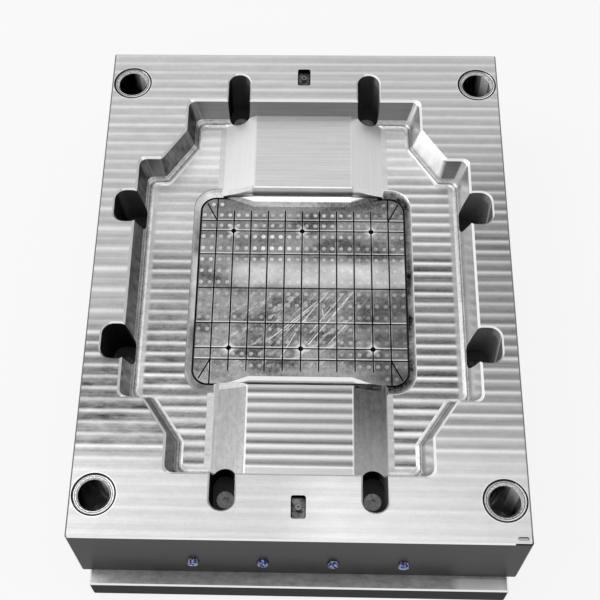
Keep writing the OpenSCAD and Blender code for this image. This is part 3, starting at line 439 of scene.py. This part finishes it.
def ramps(f):
    """The pads' ramps, painted light and shade: pale at the back, mottled front left, dark front right, with
    painted highlights along the edges.
    """
    front = f.step(f.y, 100, -100)
    right = f.step(f.x, -20, 20)
    mottle = f.noise(7, 4.0, 0.7, stretch=(1, 1.6, 1))
    left_front = f.add(0.25, f.times(mottle, 0.2))
    right_front = f.add(f.step(f.reach_y, 200, 350, 0.12, 0.4), f.times(mottle, 0.2))
    # Painted light and shade: paler on the left ramps and at the back, dark at the front right
    tone = f.mix(front, f.mix(right, 0.88, 0.78), f.mix(right, left_front, right_front))
    tone = f.add(tone, f.times(f.noise(5, 3.0, 0.6, stretch=(1, 30, 1)), 0.12))
    # Painted highlights along the foot and the brow
    foot = f.near(f.reach_x, RAMP_FOOT, 0.7, 0.6)
    brow = f.near(f.reach_x, RAMP_BROW + 1.2, 0.5, 0.5)
    return f.on_ramp, f.mix(f.most(f.times(foot, 0.15), f.times(brow, 0.4)), tone, 0.85)


def noses(f):
    """The rounded nose of each pad beside the insert, its tone changing with height and side as painted light
    and shade, with a painted highlight line along its upper edge.
    """
    area = f.times(f.within(f.reach_y, 182.6, 193.6, 0.3), f.within(f.z, INSERT + 8, PAD - 0.05, 0.3),
                   f.step(f.reach_x, RAMP_FOOT + 2, RAMP_FOOT))
    # Painted light and shade: the tone changes up the nose and from side to side
    front_middle = f.step(f.z, FLOOR + 6, FLOOR + 14, 0.5, 0.1)
    front_sides = f.mix(f.step(f.x, -20, 20), 0.4, 0.06)
    front = f.mix(f.step(f.reach_x, RAMP_BROW - 1, RAMP_BROW + 3), front_middle, front_sides)
    back_middle = f.step(f.z, FLOOR + 4, FLOOR + 17, 0.1, 0.5)
    back = f.mix(f.step(f.reach_x, RAMP_BROW + 1, RAMP_BROW + 7), back_middle, 0.8)
    tone = f.mix(f.step(f.y, 20, -20), back, front)
    tone = f.add(tone, f.times(f.noise(3, 4.0, 0.7, stretch=(14, 1, 1)), 0.4))
    # A painted highlight line along the upper edge
    line = f.step(f.z, PAD - 0.7, PAD - 0.25)
    return area, f.mix(f.times(line, 0.8), tone, 0.92)


def bevels(f):
    """The bevelled frame round the insert: grey and patchy left with a pale middle, dark right and darker at
    the foot as painted shade, and a painted line along the upper edge.
    """
    low = f.times(f.within(f.z, INSERT + 0.05, FLOOR - 0.06, 0.04), f.step(f.nz, 0.5, 0.7))
    patch = f.noise(38, 4.0, 0.6, stretch=(1, 1.6, 1))
    # Painted shade: darker at the foot of the slope and on the right
    slope = f.step(f.z, INSERT + 0.4, FLOOR - 0.8)
    tone = f.mix(f.step(f.x, -120, 120), f.mix(slope, 0.26, 0.42), f.mix(slope, 0.07, 0.36))
    left_middle = f.times(f.step(f.x, -150, -190), f.within(f.y, -55, 50, 25))
    tone = f.mix(f.times(left_middle, f.inverse(slope)), tone, 0.72)
    left_back = f.times(f.step(f.x, -60, -170), f.step(f.y, 90, 170))
    tone = f.mix(left_back, tone, 0.66)
    tone = f.add(tone, f.times(patch, 0.8), f.times(f.mottle, 0.35), f.times(f.grit, 0.3))
    # Along the upper edge a painted line: dark on the left as painted shade, a painted highlight on the right
    upper_edge = f.times(f.step(f.z, FLOOR - 1.1, FLOOR - 0.7), 0.75)
    tone = f.mix(upper_edge, tone, f.step(f.x, -160, -120, 0.2, 0.85))
    return f.times(low, f.inverse(f.on_ramp)), tone


def rims(f):
    """The chamfers: bright along the mouths and the front edge as painted highlights, dark along the other
    outer edges as painted shade.
    """
    area = f.times(f.step(f.z, TOP - 3.4, TOP - 3.1), f.within(f.nz, 0.3, 0.97, 0.1))
    # Painted highlights on the chamfers, less bright where they face right; the outer edges darkened as
    # painted shade
    tone = f.mix(f.cut_facet, f.step(f.nx, 0.35, 0.2, 0.58, 0.95), 0.95)
    edge = f.most(f.step(f.reach_x, HALF_WIDTH - 4, HALF_WIDTH - 3),
                  f.step(f.y, HALF_DEPTH - 4, HALF_DEPTH - 3))
    return area, f.mix(edge, tone, 0.2)


def slots(f):
    """The slots: walls painted near black and a dark bottom as painted shade, a paler outer end on the right
    as painted light, a pale round seat in the bottom.
    Between the places and the tone this one gives the walls that catch the light."""
    end_gap, end_axis = slot_gap(f, END_SLOT, END_SLOT_HALF, leans_in_x=False)
    side_gap, side_axis = slot_gap(f, SIDE_SLOT, SIDE_SLOT_HALF, leans_in_x=True)
    area = f.times(f.step(f.least(end_gap, side_gap), 1.0, 0.4), f.step(f.z, TOP - 2.4, TOP - 2.9))
    facing_front = f.times(f.step(f.ny, -0.4, -0.8), f.step(f.y, 0, 100))
    # Walls painted near black as painted shade, those facing the front dark grey
    tone = f.mix(facing_front, 0.02, f.step(f.z, TOP - 90, TOP - 20, 0.18, 0.1))

    # Walls that catch the light, painted lighter as painted light and dimmer in the left-hand slots, with one
    # painted highlight line that slants down the right-hand slots' outer end
    lit = f.times(f.step(f.nx, -0.35, -0.8), f.step(f.nz, 0.5, 0.3))
    lit = f.most(lit, f.times(f.step(f.x, 250, 270), f.step(f.ny, -0.2, -0.6)))
    along_slot = f.add(f.y, f.step(f.y, -10, 10, SIDE_SLOT[1], -SIDE_SLOT[1]))
    over_line = f.add(f.z, -TOP, f.step(along_slot, 24, -24, 0, 76))
    below_line = f.times(f.within(over_line, -16, 0, 8), f.step(f.nx, -0.3, -0.7))
    lit_tone = f.add(f.mix(below_line, 0.19, 0.42), f.times(f.mottle, 0.14))
    line = f.times(f.near(over_line, 0, 2.0, 1.0), f.step(f.reach_x, 290, 305), f.step(f.nx, -0.1, -0.4))
    lit_tone = f.mix(line, lit_tone, 1.0)
    tone = f.mix(lit, tone, f.times(lit_tone, f.step(f.x, -200, 200, 0.4, 1.0)))

    # The bottom, painted dark as painted shade, with its seat
    from_axis = f.least(end_axis, side_axis)
    seat = f.step(from_axis, 15.0, 14.0)
    seat_ring = f.near(from_axis, 8.4, 0.7, 0.5)
    seat_tone = f.mix(seat, 0.1, f.mix(seat_ring, f.add(0.2, f.times(f.mottle, 0.5)), 0.35))
    bottom = f.times(f.step(f.z, TOP - 78, TOP - 82), f.step(f.nz, 0.8, 0.95))
    return area, lit, f.mix(bottom, tone, seat_tone)


def key_recesses(f):
    """The two key recesses: walls painted near black and a mottled floor that is darkest round its border,
    both as painted shade.
    """
    area = f.times(f.step(f.z, TOP - 0.3, TOP - 0.8), f.step(f.reach_x, 13, 12),
                   f.within(f.reach_y, KEY_Y - 21, KEY_Y + 21, 2))
    tone = f.add(0.1, f.times(f.mottle, 0.5), f.times(f.grit, 0.3))
    border = f.most(f.step(f.reach_x, 9, 10.5), f.step(f.absolute(f.add(f.reach_y, -KEY_Y)), 16, 17.5))
    # Painted shade round the border of the floor
    tone = f.times(tone, f.mix(border, 1.0, 0.2))
    return area, f.mix(f.step(f.nz, 0.7, 0.9), 0.02, tone)


def pry_slot(f):
    """The pry slot in the front right corner: walls painted near black as painted shade, grey floor."""
    depth = f.times(f.step(f.z, TOP - 0.3, TOP - 0.8), f.step(f.z, TOP - 5, TOP - 4))
    area = f.times(depth, f.step(f.x, 322, 324), f.step(f.y, -446, -448))
    return area, f.mix(f.step(f.nz, 0.7, 0.9), 0.02, 0.45)


def outer_sides(f):
    """The block's outer sides, painted dark as painted shade, with grinding lines."""
    outside = f.most(f.step(f.reach_x, HALF_WIDTH - 2, HALF_WIDTH - 0.5),
                     f.step(f.reach_y, HALF_DEPTH - 2, HALF_DEPTH - 0.5))
    ground = f.noise(1.6, 3.0, 0.65, stretch=(50, 50, 1))
    # A dark tone as painted shade, with grinding lines
    tone = f.add(0.11, f.times(f.cloud, 0.04), f.times(ground, 0.04), f.times(f.streak, 0.02))
    return f.times(outside, f.step(f.nz, 0.5, 0.2)), tone


# The finishes, each one a material

def milled_plate():
    """The cavity plate: face-milled top and floor with feed bands, smooth walls with painted light and shade,
    outer sides painted dark as painted shade.
    """
    f = PlateFinish()
    fine = f.noise(1.2, 2.0, 0.6, stretch=(40, 1, 1))
    in_slot, slot_lit, slot_tone = slots(f)
    grey = walls(f)
    for area, tone in (coves(f), ramps(f), noses(f), bevels(f), rims(f), (in_slot, slot_tone),
                       key_recesses(f), pry_slot(f)):
        grey = f.mix(area, grey, tone)

    # The milled flats
    flat_up = f.step(f.nz, 0.992, 0.998)
    top = f.times(flat_up, f.step(f.z, TOP - 0.6, TOP - 0.3))
    pad = f.times(flat_up, f.near(f.z, PAD, 0.5))
    floor = f.times(flat_up, f.near(f.z, FLOOR, 0.3, 0.1))
    milled = f.add(f.times(top, parting_face(f)), f.times(floor, pocket_floor(f)), f.times(pad, pad_faces(f)))
    milled = f.add(milled, f.times(f.streak, 0.18), f.times(f.grit, f.mix(floor, 0.14, 0.26)))
    any_flat = f.times(f.most(top, f.most(pad, floor)), f.inverse(in_slot))
    grey = f.mix(any_flat, grey, milled)
    outer, outer_tone = outer_sides(f)
    grey = f.mix(outer, grey, outer_tone)

    # A dark ring round each guide bush, painted shade of a groove that is not modelled, and a bright halo
    # outside it, a painted highlight
    from_bush = f.from_bush()
    grey = f.mix(f.times(f.near(from_bush, BUSH_HALO_R, 0.5, 0.7), top, 0.4), grey, 0.95)
    grey = f.mix(f.times(f.near(from_bush, BUSH_GROOVE_SHADE_R, 1.1, 0.4), top), grey, 0.012)
    grey = f.add(grey, f.times(fine, 0.1, grey))
    f.colour(f.tint(f.least(f.most(grey, 0.005), 1.0)))
    roughness = f.mix(any_flat, f.add(0.33, f.times(f.cloud, 0.15)), f.add(0.38, f.times(f.streak, 0.1)))
    f.roughness(f.mix(in_slot, roughness, 0.75))
    f.metallic(f.mix(f.times(in_slot, slot_lit), 0.97, 0.1))
    f.bump(f.add(f.times(fine, 0.06), f.times(f.streak, 0.2, any_flat)), 0.1)
    return f.material


def polished_insert():
    """The bottom insert: worn polish with cloudy patches, fine scratches and dull dimples."""
    f = Finish("polished_insert", metallic=0.95)
    cloud = f.noise(62, 5.0, 0.62, stretch=(1.5, 0.8, 1))
    speck = f.noise(7, 4.0, 0.7)
    grain = f.noise(2.4, 3.0, 0.6)
    face = f.within(f.z, INSERT - 1.3, INSERT + 0.1, 0.05)
    dimple = f.times(face, f.step(f.z, INSERT - 0.03, INSERT - 0.1))

    # Patches: pale across the middle and back left, dark towards the front right
    patchy = f.step(cloud, -0.13, 0.13)
    grey = f.add(0.12, f.times(patchy, 0.24), f.times(speck, 0.4), f.times(grain, 0.24))
    left_back = f.times(f.step(f.x, 20, -120), f.step(f.y, 20, 130))
    grey = f.mix(f.times(left_back, 0.4), grey, f.add(0.4, f.times(speck, 0.3)))
    middle = f.times(f.within(f.y, 14, 40, 22), f.within(f.x, -90, 175, 60))
    grey = f.mix(f.times(middle, 0.95), grey, f.add(0.7, f.times(cloud, 1.1), f.times(speck, 0.2)))
    smear = f.step(f.noise(30, 4.0, 0.65, stretch=(1.3, 0.5, 1), turn=38), 0.03, 0.16)
    smeared = f.times(f.within(f.x, -90, 60, 50), f.within(f.y, -130, -20, 30))
    grey = f.add(grey, f.times(smear, smeared, 0.4))
    dark_corner = f.times(f.step(f.x, 60, 150), f.step(f.y, 0, -60))
    grey = f.mix(f.times(dark_corner, 0.5), grey, 0.1)
    grey = f.most(grey, 0.06)

    # Fine slanting scratches right of the middle
    scratch = f.noise(1, 1.0, 0.5, stretch=(150, 1.7, 5), turn=52)
    area = f.times(f.within(f.x, -50, 95, 30), f.within(f.y, -112, -18, 22))
    worn = f.times(f.step(scratch, 0.17, 0.2), area, 0.6)
    for x0, y0, x1, y1, half in SCRATCHES:
        worn = f.most(worn, f.line((x0, y0), (x1, y1), half))
    worn = f.times(worn, f.add(0.85, f.times(f.noise(9, 3.0, 0.6), 1.6)))
    grey = f.mix(f.least(worn, 1.0), grey, 0.9)

    # Dull dimples, fainter in patches, in the bright middle and to the right
    shown = f.step(f.noise(80, 2.0, 0.5), -0.12, 0.1)
    dimple_tone = f.times(f.step(f.z, INSERT - 0.5, INSERT - 0.1, 0.75, 0.5), f.step(f.y, -20, 20, 0.72, 1.0))
    dimple_tone = f.mix(f.times(f.step(f.x, 60, -40), f.within(f.y, 62, 106, 6)), dimple_tone, 0.9)
    hidden = f.times(f.inverse(f.times(middle, 0.75)), f.step(f.x, 90, 150, 1.0, 0.6))
    dimple_power = f.times(dimple, hidden, f.add(0.45, f.times(shown, 0.5)))
    grey = f.mix(dimple_power, grey, f.add(dimple_tone, f.times(grain, 0.3)))

    # Painted highlights along the edges of the rib slots, and painted glints at the gates
    edge_power = f.add(0.8, f.times(f.noise(20, 2.0, 0.5), 0.6))
    for rib in CROSS_RIBS:
        for side in (-1, 1):
            beside_rib = f.within(f.add(f.y, -side * rib), 1.3, 2.9, 0.3)
            edge = f.times(face, beside_rib, f.step(f.reach_x, 178, 176))
            grey = f.mix(f.times(edge, edge_power), grey, 0.85)
    rib_turn = f.absolute(f.add(f.math("FRACT", f.add(f.times(f.x, 1 / RIB_PITCH), 0.5)), -0.5))
    from_rib = f.times(rib_turn, RIB_PITCH)
    long_edge = f.times(face, f.within(from_rib, 1.3, 2.3, 0.4), f.step(f.reach_y, 158, 156))
    grey = f.mix(f.times(long_edge, f.step(f.noise(26, 3.0, 0.6), -0.15, 0.15), 0.55), grey, 0.62)
    gate_x = f.least(f.reach_x, f.absolute(f.add(f.reach_x, -GATE_X)))
    gate_y = f.absolute(f.add(f.reach_y, -GATE_Y))
    glint = f.times(f.step(f.add(gate_x, gate_y), 17, 7), face)
    grey = f.mix(f.times(glint, 0.8), grey, 0.9)

    # The rib slots and the rim's groove painted near black in their depth, as painted shade
    grey = f.mix(f.step(f.z, INSERT - 1.4, INSERT - 2.0), grey, 0.025)

    # The shut-off ramps: white at the back, a bright foot and a darker slope at the front
    wedge = f.step(f.z, INSERT + 0.1, INSERT + 0.35)
    white = f.mix(f.step(f.z, INSERT + 2, INSERT + 3.4), grey, f.step(f.x, 60, 175, 1.0, 0.9))
    front_slope = f.mix(f.step(f.z, INSERT + 2.2, INSERT + 3.2), 1.0, f.add(0.42, f.times(speck, 0.3)))
    grey = f.mix(wedge, grey, f.mix(f.step(f.y, -20, 20), front_slope, white))
    f.colour(f.tint(f.least(f.most(grey, 0.01), 1.0)))
    f.roughness(f.add(f.mix(dimple, 0.3, 0.7), f.times(cloud, 0.25)))
    f.bump(grain, 0.02)
    return f.material


def plain_steel(name, grey, roughness, spread, size, metallic=1.0, colour=(1, 1, 1)):
    """Ground, turned or oxidised metal: one tone with fine grain."""
    f = Finish(name, metallic, roughness)
    grain = f.noise(size, 4.0, 0.6)
    cloud = f.noise(40, 3.0, 0.5)
    tone = f.add(grey, f.times(grain, spread), f.times(cloud, spread))
    f.colour(f.tint(tone, colour))
    f.roughness(f.add(roughness, f.times(grain, 0.14)))
    f.bump(grain, 0.02)
    return f.material


def bush_steel():
    """Ground guide bush: bright collar with a worn lead-in, and a bore that is lit on one side only."""
    f = Finish("bush_steel", metallic=1.0)
    streak = f.noise(5, 3.0, 0.6, stretch=(1, 1, 30))
    grain = f.noise(1.0, 2.0, 0.5)
    worn = f.noise(3.5, 4.0, 0.7)
    from_bush = f.from_bush()
    bore = f.times(f.step(f.absolute(f.nz), 0.9, 0.7), f.step(from_bush, BUSH_BORE_R + 0.4, BUSH_BORE_R))
    lead_in = f.step(from_bush, BUSH_LEAD_R, BUSH_LEAD_R - 0.5)
    grey = f.add(0.95, f.times(grain, 0.2), f.times(worn, 0.5))
    grey = f.mix(f.step(from_bush, BUSH_STEP_R, BUSH_STEP_R - 0.4), grey, f.add(0.6, f.times(worn, 1.5)))
    grey = f.mix(f.near(from_bush, BUSH_STEP_R, 0.4, 0.4), grey, 0.04)
    grey = f.mix(lead_in, grey, f.add(0.5, f.times(worn, 1.2)))
    lit = f.times(f.step(f.nx, 0.1, -0.35), f.step(f.z, TOP - 95, TOP - 30))
    shine = f.times(f.within(f.nx, -0.85, -0.5, 0.12), f.step(f.ny, 0.2, -0.1))
    bore_tone = f.add(0.02, f.times(lit, f.mix(shine, 0.24, 1.6), f.add(1.0, f.times(streak, 2.4))))
    grey = f.mix(bore, grey, bore_tone)
    f.colour(f.tint(f.least(f.most(grey, 0.01), 1.0)))
    f.roughness(f.add(0.24, f.times(streak, 0.12)))
    f.metallic(f.mix(f.times(bore, lit), 1.0, 0.0))
    f.bump(grain, 0.01)
    return f.material


def clamp_steel():
    """The clamping plate: ground faces painted dark as painted shade, a painted highlight along its edge, a
    few scratches and a painted shine at its right end.
    """
    f = Finish("clamp_steel", metallic=0.95)
    f.shader.inputs["Specular Tint"].default_value = (0.4, 0.4, 0.4, 1)
    cloud = f.noise(60, 4.0, 0.6)
    stain = f.noise(9, 4.0, 0.7, stretch=(2, 1, 1))
    grain = f.noise(1.5, 3.0, 0.6, stretch=(40, 1, 1))
    flat_up = f.step(f.nz, 0.8, 0.95)
    ledge = f.add(0.52, f.times(f.step(f.x, -200, -330), 0.2), f.times(stain, 0.7))
    # A painted shine at the right end of the ledge
    ledge = f.mix(f.times(f.within(f.x, 262, 322, 22), f.step(f.reach_y, 462, 466)), ledge, 0.95)
    scratch = f.noise(1, 1.0, 0.5, stretch=(16, 0.9, 4), turn=58)
    ledge = f.mix(f.times(f.step(scratch, 0.2, 0.24), f.step(cloud, -0.05, 0.1), 0.7), ledge, 0.8)
    # Faces that do not look up painted dark as painted shade
    face = f.mix(flat_up, 0.06, ledge)
    # The chamfer painted bright as a painted highlight
    face = f.mix(f.within(f.nz, 0.6, 0.8, 0.05), face, 0.95)
    grey = f.add(face, f.times(cloud, 0.01), f.times(grain, 0.02))
    f.colour(f.tint(f.most(grey, 0.005)))
    f.roughness(f.add(0.4, f.times(cloud, 0.12)))
    f.bump(grain, 0.03)
    return f.material


def disc_steel():
    """The slot discs: dull steel with worn patches, painted near black in the side slots as painted shade."""
    f = Finish("disc_steel", metallic=0.3, roughness=0.5)
    worn = f.noise(6, 4.0, 0.7)
    # Painted shade: the discs in the side slots near black, those in the end slots grey
    tone = f.add(f.step(f.reach_x, 150, 250, 0.45, 0.06), f.times(worn, 0.8))
    f.colour(f.tint(f.most(tone, 0.03)))
    f.bump(worn, 0.04)
    return f.material


def ring_plastic(name, dark, pale, share):
    """Glossy plastic of the marking rings and valve pins: blue, with bluish-white patches that are painted
    glints.
    """
    f = Finish(name, 0.0, 0.12)
    speck = f.noise(1.1, 3.0, 0.6)
    # The bluish-white patches are painted glints
    patch = f.step(f.add(f.noise(4.5, 1.0, 0.5), f.times(speck, 0.1)), 0.12 - share * 0.2, 0.16 - share * 0.2)
    node = f.nodes.new("ShaderNodeMix")
    node.data_type = "RGBA"
    f.feed(node.inputs[0], patch)
    f.feed(node.inputs[6], dark + (1,))
    f.feed(node.inputs[7], pale + (1,))
    f.colour(node.outputs[2])
    f.bump(speck, 0.02)
    return f.material


# Each node of the CAD gets the finish of its material slot
finish_of = {
    "plate_steel": milled_plate(),
    "polished_steel": polished_insert(),
    "clamp_steel": clamp_steel(),
    "ground_steel": bush_steel(),
    "tool_steel": plain_steel("tool_steel", 0.5, 0.35, 0.16, 1.0),
    "heater_sheath": plain_steel("heater_sheath", 0.55, 0.4, 0.2, 1.5, colour=(1.0, 0.72, 0.5)),
    "black_screw": plain_steel("black_screw", 0.2, 0.35, 0.1, 0.8, metallic=0.8),
    "brass": plain_steel("brass", 0.7, 0.3, 0.2, 1.0, colour=(1.0, 0.8, 0.42)),
    "nipple": plain_steel("blue_nipple", 0.45, 0.28, 0.2, 0.6, colour=(0.3, 0.36, 0.95)),
}
slot_of = {part["node"]: part["material_slot"] for part in frame["record"]["subparts"]}
for name, node in nodes.items():
    finish = finish_of[slot_of[name]]
    node.data.materials.clear()
    node.data.materials.append(finish)


def no_selection():
    bpy.ops.object.select_all(action="DESELECT")


def pick_faces(piece, wanted):
    """In edit mode, selects just the faces of the piece that the test wants."""
    bpy.ops.mesh.select_all(action="DESELECT")
    bpy.ops.object.mode_set(mode="OBJECT")
    for face in piece.data.polygons:
        face.select = wanted(face)
    bpy.ops.object.mode_set(mode="EDIT")


def settle(piece, finish):
    """Puts the piece's place into its mesh, gives it its finish and lets it ride with the mould."""
    no_selection()
    piece.select_set(True)
    bpy.context.view_layer.objects.active = piece
    bpy.ops.object.transform_apply(location=True, rotation=True, scale=True)
    bpy.ops.object.shade_smooth_by_angle(angle=math.radians(40))
    piece.data.materials.clear()
    piece.data.materials.append(finish)
    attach(piece, "root")


def copied(piece, name, shift_x):
    """A copy of the piece with its own mesh, moved along X."""
    no_selection()
    piece.select_set(True)
    bpy.context.view_layer.objects.active = piece
    bpy.ops.object.duplicate(linked=False)
    twin = bpy.context.object
    twin.name = name
    twin.location.x += shift_x
    return twin


def marking_ring(place):
    """The ring that marks a water connection, pushed on to the nipple's neck in front of its lip."""
    no_selection()
    bpy.ops.mesh.primitive_cylinder_add(vertices=48, radius=RING_R, depth=RING_LENGTH, location=place,
                                        rotation=(math.pi / 2, 0, 0))
    ring = bpy.context.object
    bpy.ops.object.mode_set(mode="EDIT")
    bpy.ops.mesh.select_mode(type="FACE")
    pick_faces(ring, lambda face: abs(face.normal.z) > 0.9)
    bpy.ops.mesh.inset(thickness=RING_WALL)
    bpy.ops.mesh.bridge_edge_loops()
    bpy.ops.mesh.select_all(action="SELECT")
    bpy.ops.mesh.normals_make_consistent(inside=False)
    pick_faces(ring, lambda face: abs(face.normal.z) > 0.9)
    bpy.ops.mesh.region_to_loop()
    bpy.ops.mesh.bevel(offset=RING_ROUNDING, segments=4, profile=0.5)
    bpy.ops.object.mode_set(mode="OBJECT")
    return ring


def valve_pin(place):
    """The pin that closes a water connection's valve: a stem with a stepped, rounded head."""
    no_selection()
    bpy.ops.mesh.primitive_cylinder_add(vertices=32, radius=PIN_R, depth=PIN_LENGTH, location=place,
                                        rotation=(math.pi / 2, 0, 0))
    pin = bpy.context.object
    bpy.ops.object.mode_set(mode="EDIT")
    bpy.ops.mesh.select_mode(type="FACE")
    pick_faces(pin, lambda face: face.normal.z > 0.9)
    for inset, rise in PIN_STEPS:
        bpy.ops.mesh.inset(thickness=inset)
        bpy.ops.mesh.extrude_region_move(TRANSFORM_OT_translate={"value": (0, -rise, 0)})
    pick_faces(pin, lambda face: abs(face.normal.z) > 0.9)
    bpy.ops.mesh.region_to_loop()
    bpy.ops.mesh.bevel(offset=PIN_ROUNDING, segments=2, profile=0.5)
    bpy.ops.object.mode_set(mode="OBJECT")
    return pin


def water_connections():
    """A marking ring and a valve pin in each of the four water connections of the front face."""
    # The pale patches of both finishes are painted glints
    ring_finish = ring_plastic("ring_plastic", (0.06, 0.08, 0.42), (0.75, 0.8, 1.0), 0.6)
    pin_finish = ring_plastic("valve_pin_blue", (0.02, 0.025, 0.16), (0.4, 0.45, 0.8), 0.2)
    low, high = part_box("water_nipple_1")
    x, z = (low[0] + high[0]) / 2, (low[2] + high[2]) / 2
    face = -HALF_DEPTH * MM
    ring = marking_ring((x, face - RING_STANDS_OUT, z))
    ring.name = "marking_ring_1"
    pin = valve_pin((x, face + PIN_LIES_IN, z))
    pin.name = "valve_pin_1"
    settle(ring, ring_finish)
    settle(pin, pin_finish)
    for k in (2, 3, 4):
        low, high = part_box("water_nipple_%d" % k)
        shift = (low[0] + high[0]) / 2 - x
        settle(copied(ring, "marking_ring_%d" % k, shift), ring_finish)
        settle(copied(pin, "valve_pin_%d" % k, shift), pin_finish)


def slot_disc():
    """The disc that a slider's angled pin rests on: chamfered, with a round recess in its middle."""
    no_selection()
    bpy.ops.mesh.primitive_cylinder_add(vertices=48, radius=DISC_R, depth=DISC_HEIGHT)
    disc = bpy.context.object
    bpy.ops.object.mode_set(mode="EDIT")
    bpy.ops.mesh.select_mode(type="FACE")
    pick_faces(disc, lambda face: face.normal.z > 0.9)
    for inset in DISC_INSETS:
        bpy.ops.mesh.inset(thickness=inset)
    bpy.ops.mesh.extrude_region_move(TRANSFORM_OT_translate={"value": (0, 0, -DISC_RECESS)})
    pick_faces(disc, lambda face: abs(face.normal.z) > 0.9 and face.center.length > 0.001)
    bpy.ops.mesh.region_to_loop()
    bpy.ops.mesh.bevel(offset=DISC_CHAMFER, segments=2, profile=0.5)
    bpy.ops.object.mode_set(mode="OBJECT")
    disc.name = "slot_disc_1"
    return disc


def slot_discs():
    """A disc on the seat at the bottom of each of the eight leaning slots."""
    finish = disc_steel()
    first = slot_disc()
    corners = [(sx, sy) for sx in (-1, 1) for sy in (-1, 1)]
    spots = [(sx * END_SLOT[0], sy * END_SLOT[1], -sy * SLOT_TURN, 0) for sx, sy in corners]
    spots += [(sx * SIDE_SLOT[0], sy * SIDE_SLOT[1], 0, sx * SLOT_TURN) for sx, sy in corners]
    discs = [first] + [copied(first, "slot_disc_%d" % k, 0) for k in range(2, len(spots) + 1)]
    for disc, (x, y, turn_x, turn_y) in zip(discs, spots):
        disc.rotation_euler = (turn_x, turn_y, 0)
        disc.location = (x * MM - math.sin(turn_y) * DISC_DOWN_SLOT,
                         y * MM + math.sin(turn_x) * DISC_DOWN_SLOT,
                         TOP * MM - math.cos(SLOT_TURN) * DISC_DOWN_SLOT)
        settle(disc, finish)


water_connections()
slot_discs()


def seen_directly(tree):
    """1 for camera, glossy and transmission rays, which show the pale background, and 0 for light."""
    rays = tree.nodes.new("ShaderNodeLightPath")
    seen = rays.outputs["Is Camera Ray"]
    for kind in ("Is Glossy Ray", "Is Transmission Ray"):
        either = tree.nodes.new("ShaderNodeMath")
        either.operation = "MAXIMUM"
        tree.links.new(seen, either.inputs[0])
        tree.links.new(rays.outputs[kind], either.inputs[1])
        seen = either.outputs[0]
    return seen


def mixed(tree, factor, lighting, seen):
    """The shader that lights the mould, mixed by the factor with the one that is seen."""
    mixer = tree.nodes.new("ShaderNodeMixShader")
    for socket, source in zip(mixer.inputs, (factor, lighting.outputs[0], seen.outputs[0])):
        tree.links.new(source, socket)
    return mixer.outputs[0]


def studio_floor():
    """A wide pale floor, which shows nearly white and keeps the mould's shadow."""
    no_selection()
    bpy.ops.mesh.primitive_plane_add(size=30, location=(0, 0, -0.0005))
    plane = bpy.context.object
    plane.name = "studio_floor"
    material = bpy.data.materials.new("pale_floor")
    material.use_nodes = True
    tree = material.node_tree
    shader = tree.nodes["Principled BSDF"]
    shader.inputs["Base Color"].default_value = (0.9, 0.9, 0.9, 1)
    shader.inputs["Roughness"].default_value = 0.8
    glow = tree.nodes.new("ShaderNodeEmission")
    share = tree.nodes.new("ShaderNodeMath")
    share.operation = "MULTIPLY"
    share.inputs[1].default_value = FLOOR_GLOW
    tree.links.new(seen_directly(tree), share.inputs[0])
    surface = tree.nodes["Material Output"].inputs["Surface"]
    tree.links.new(mixed(tree, share.outputs[0], shader, glow), surface)
    plane.data.materials.append(material)


def studio_sky():
    """A white sky, a little darker overhead, that lights the mould more softly than it shows."""
    world = bpy.data.worlds.new("studio_sky")
    bpy.context.scene.world = world
    world.use_nodes = True
    tree = world.node_tree
    tree.nodes.clear()
    output = tree.nodes.new("ShaderNodeOutputWorld")
    place = tree.nodes.new("ShaderNodeTexCoord")
    height = tree.nodes.new("ShaderNodeSeparateXYZ")
    tree.links.new(place.outputs["Generated"], height.inputs[0])
    tone = tree.nodes.new("ShaderNodeMapRange")
    for name, number in (("From Min", 0.0), ("From Max", 0.9), ("To Min", 1.0), ("To Max", 0.75)):
        tone.inputs[name].default_value = number
    tree.links.new(height.outputs[2], tone.inputs["Value"])
    seen = tree.nodes.new("ShaderNodeBackground")
    tree.links.new(tone.outputs[0], seen.inputs["Color"])
    light = tree.nodes.new("ShaderNodeBackground")
    light.inputs["Color"].default_value = (0.8, 0.8, 0.8, 1)
    light.inputs["Strength"].default_value = 0.6
    tree.links.new(mixed(tree, seen_directly(tree), light, seen), output.inputs["Surface"])


def softbox(name, place, target, width, depth, watts):
    """A rectangular lamp that points from its place at the target."""
    no_selection()
    bpy.ops.object.light_add(type="AREA", location=place)
    lamp = bpy.context.object
    lamp.name = name
    lamp.data.shape = "RECTANGLE"
    lamp.data.size = width
    lamp.data.size_y = depth
    lamp.data.energy = watts
    aim = [t - p for t, p in zip(target, place)]
    flat = math.hypot(aim[0], aim[1])
    lamp.rotation_euler = (math.atan2(flat, -aim[2]), 0, math.atan2(aim[1], aim[0]) - math.pi / 2)


def photo_camera():
    """The camera at the photograph's viewing angle, fitted to the block's corners."""
    no_selection()
    bpy.ops.object.camera_add(location=CAMERA_PLACE)
    camera = bpy.context.object
    camera.name = "photo_camera"
    camera.rotation_euler = tuple(math.radians(angle) for angle in CAMERA_TURN)
    camera.data.sensor_width = 36
    camera.data.lens = CAMERA_LENS
    camera.data.shift_x = CAMERA_SHIFT
    bpy.context.scene.camera = camera


studio_floor()
studio_sky()
softbox("key_box", (-1.5, 0.3, 2.5), (0, 0, 0.2), 1.4, 1.2, 16)
softbox("top_box", (0.1, 0.1, 2.8), (0, 0, 0.2), 1.8, 0.6, 5)
photo_camera()
bpy.context.scene.view_settings.view_transform = "Standard"
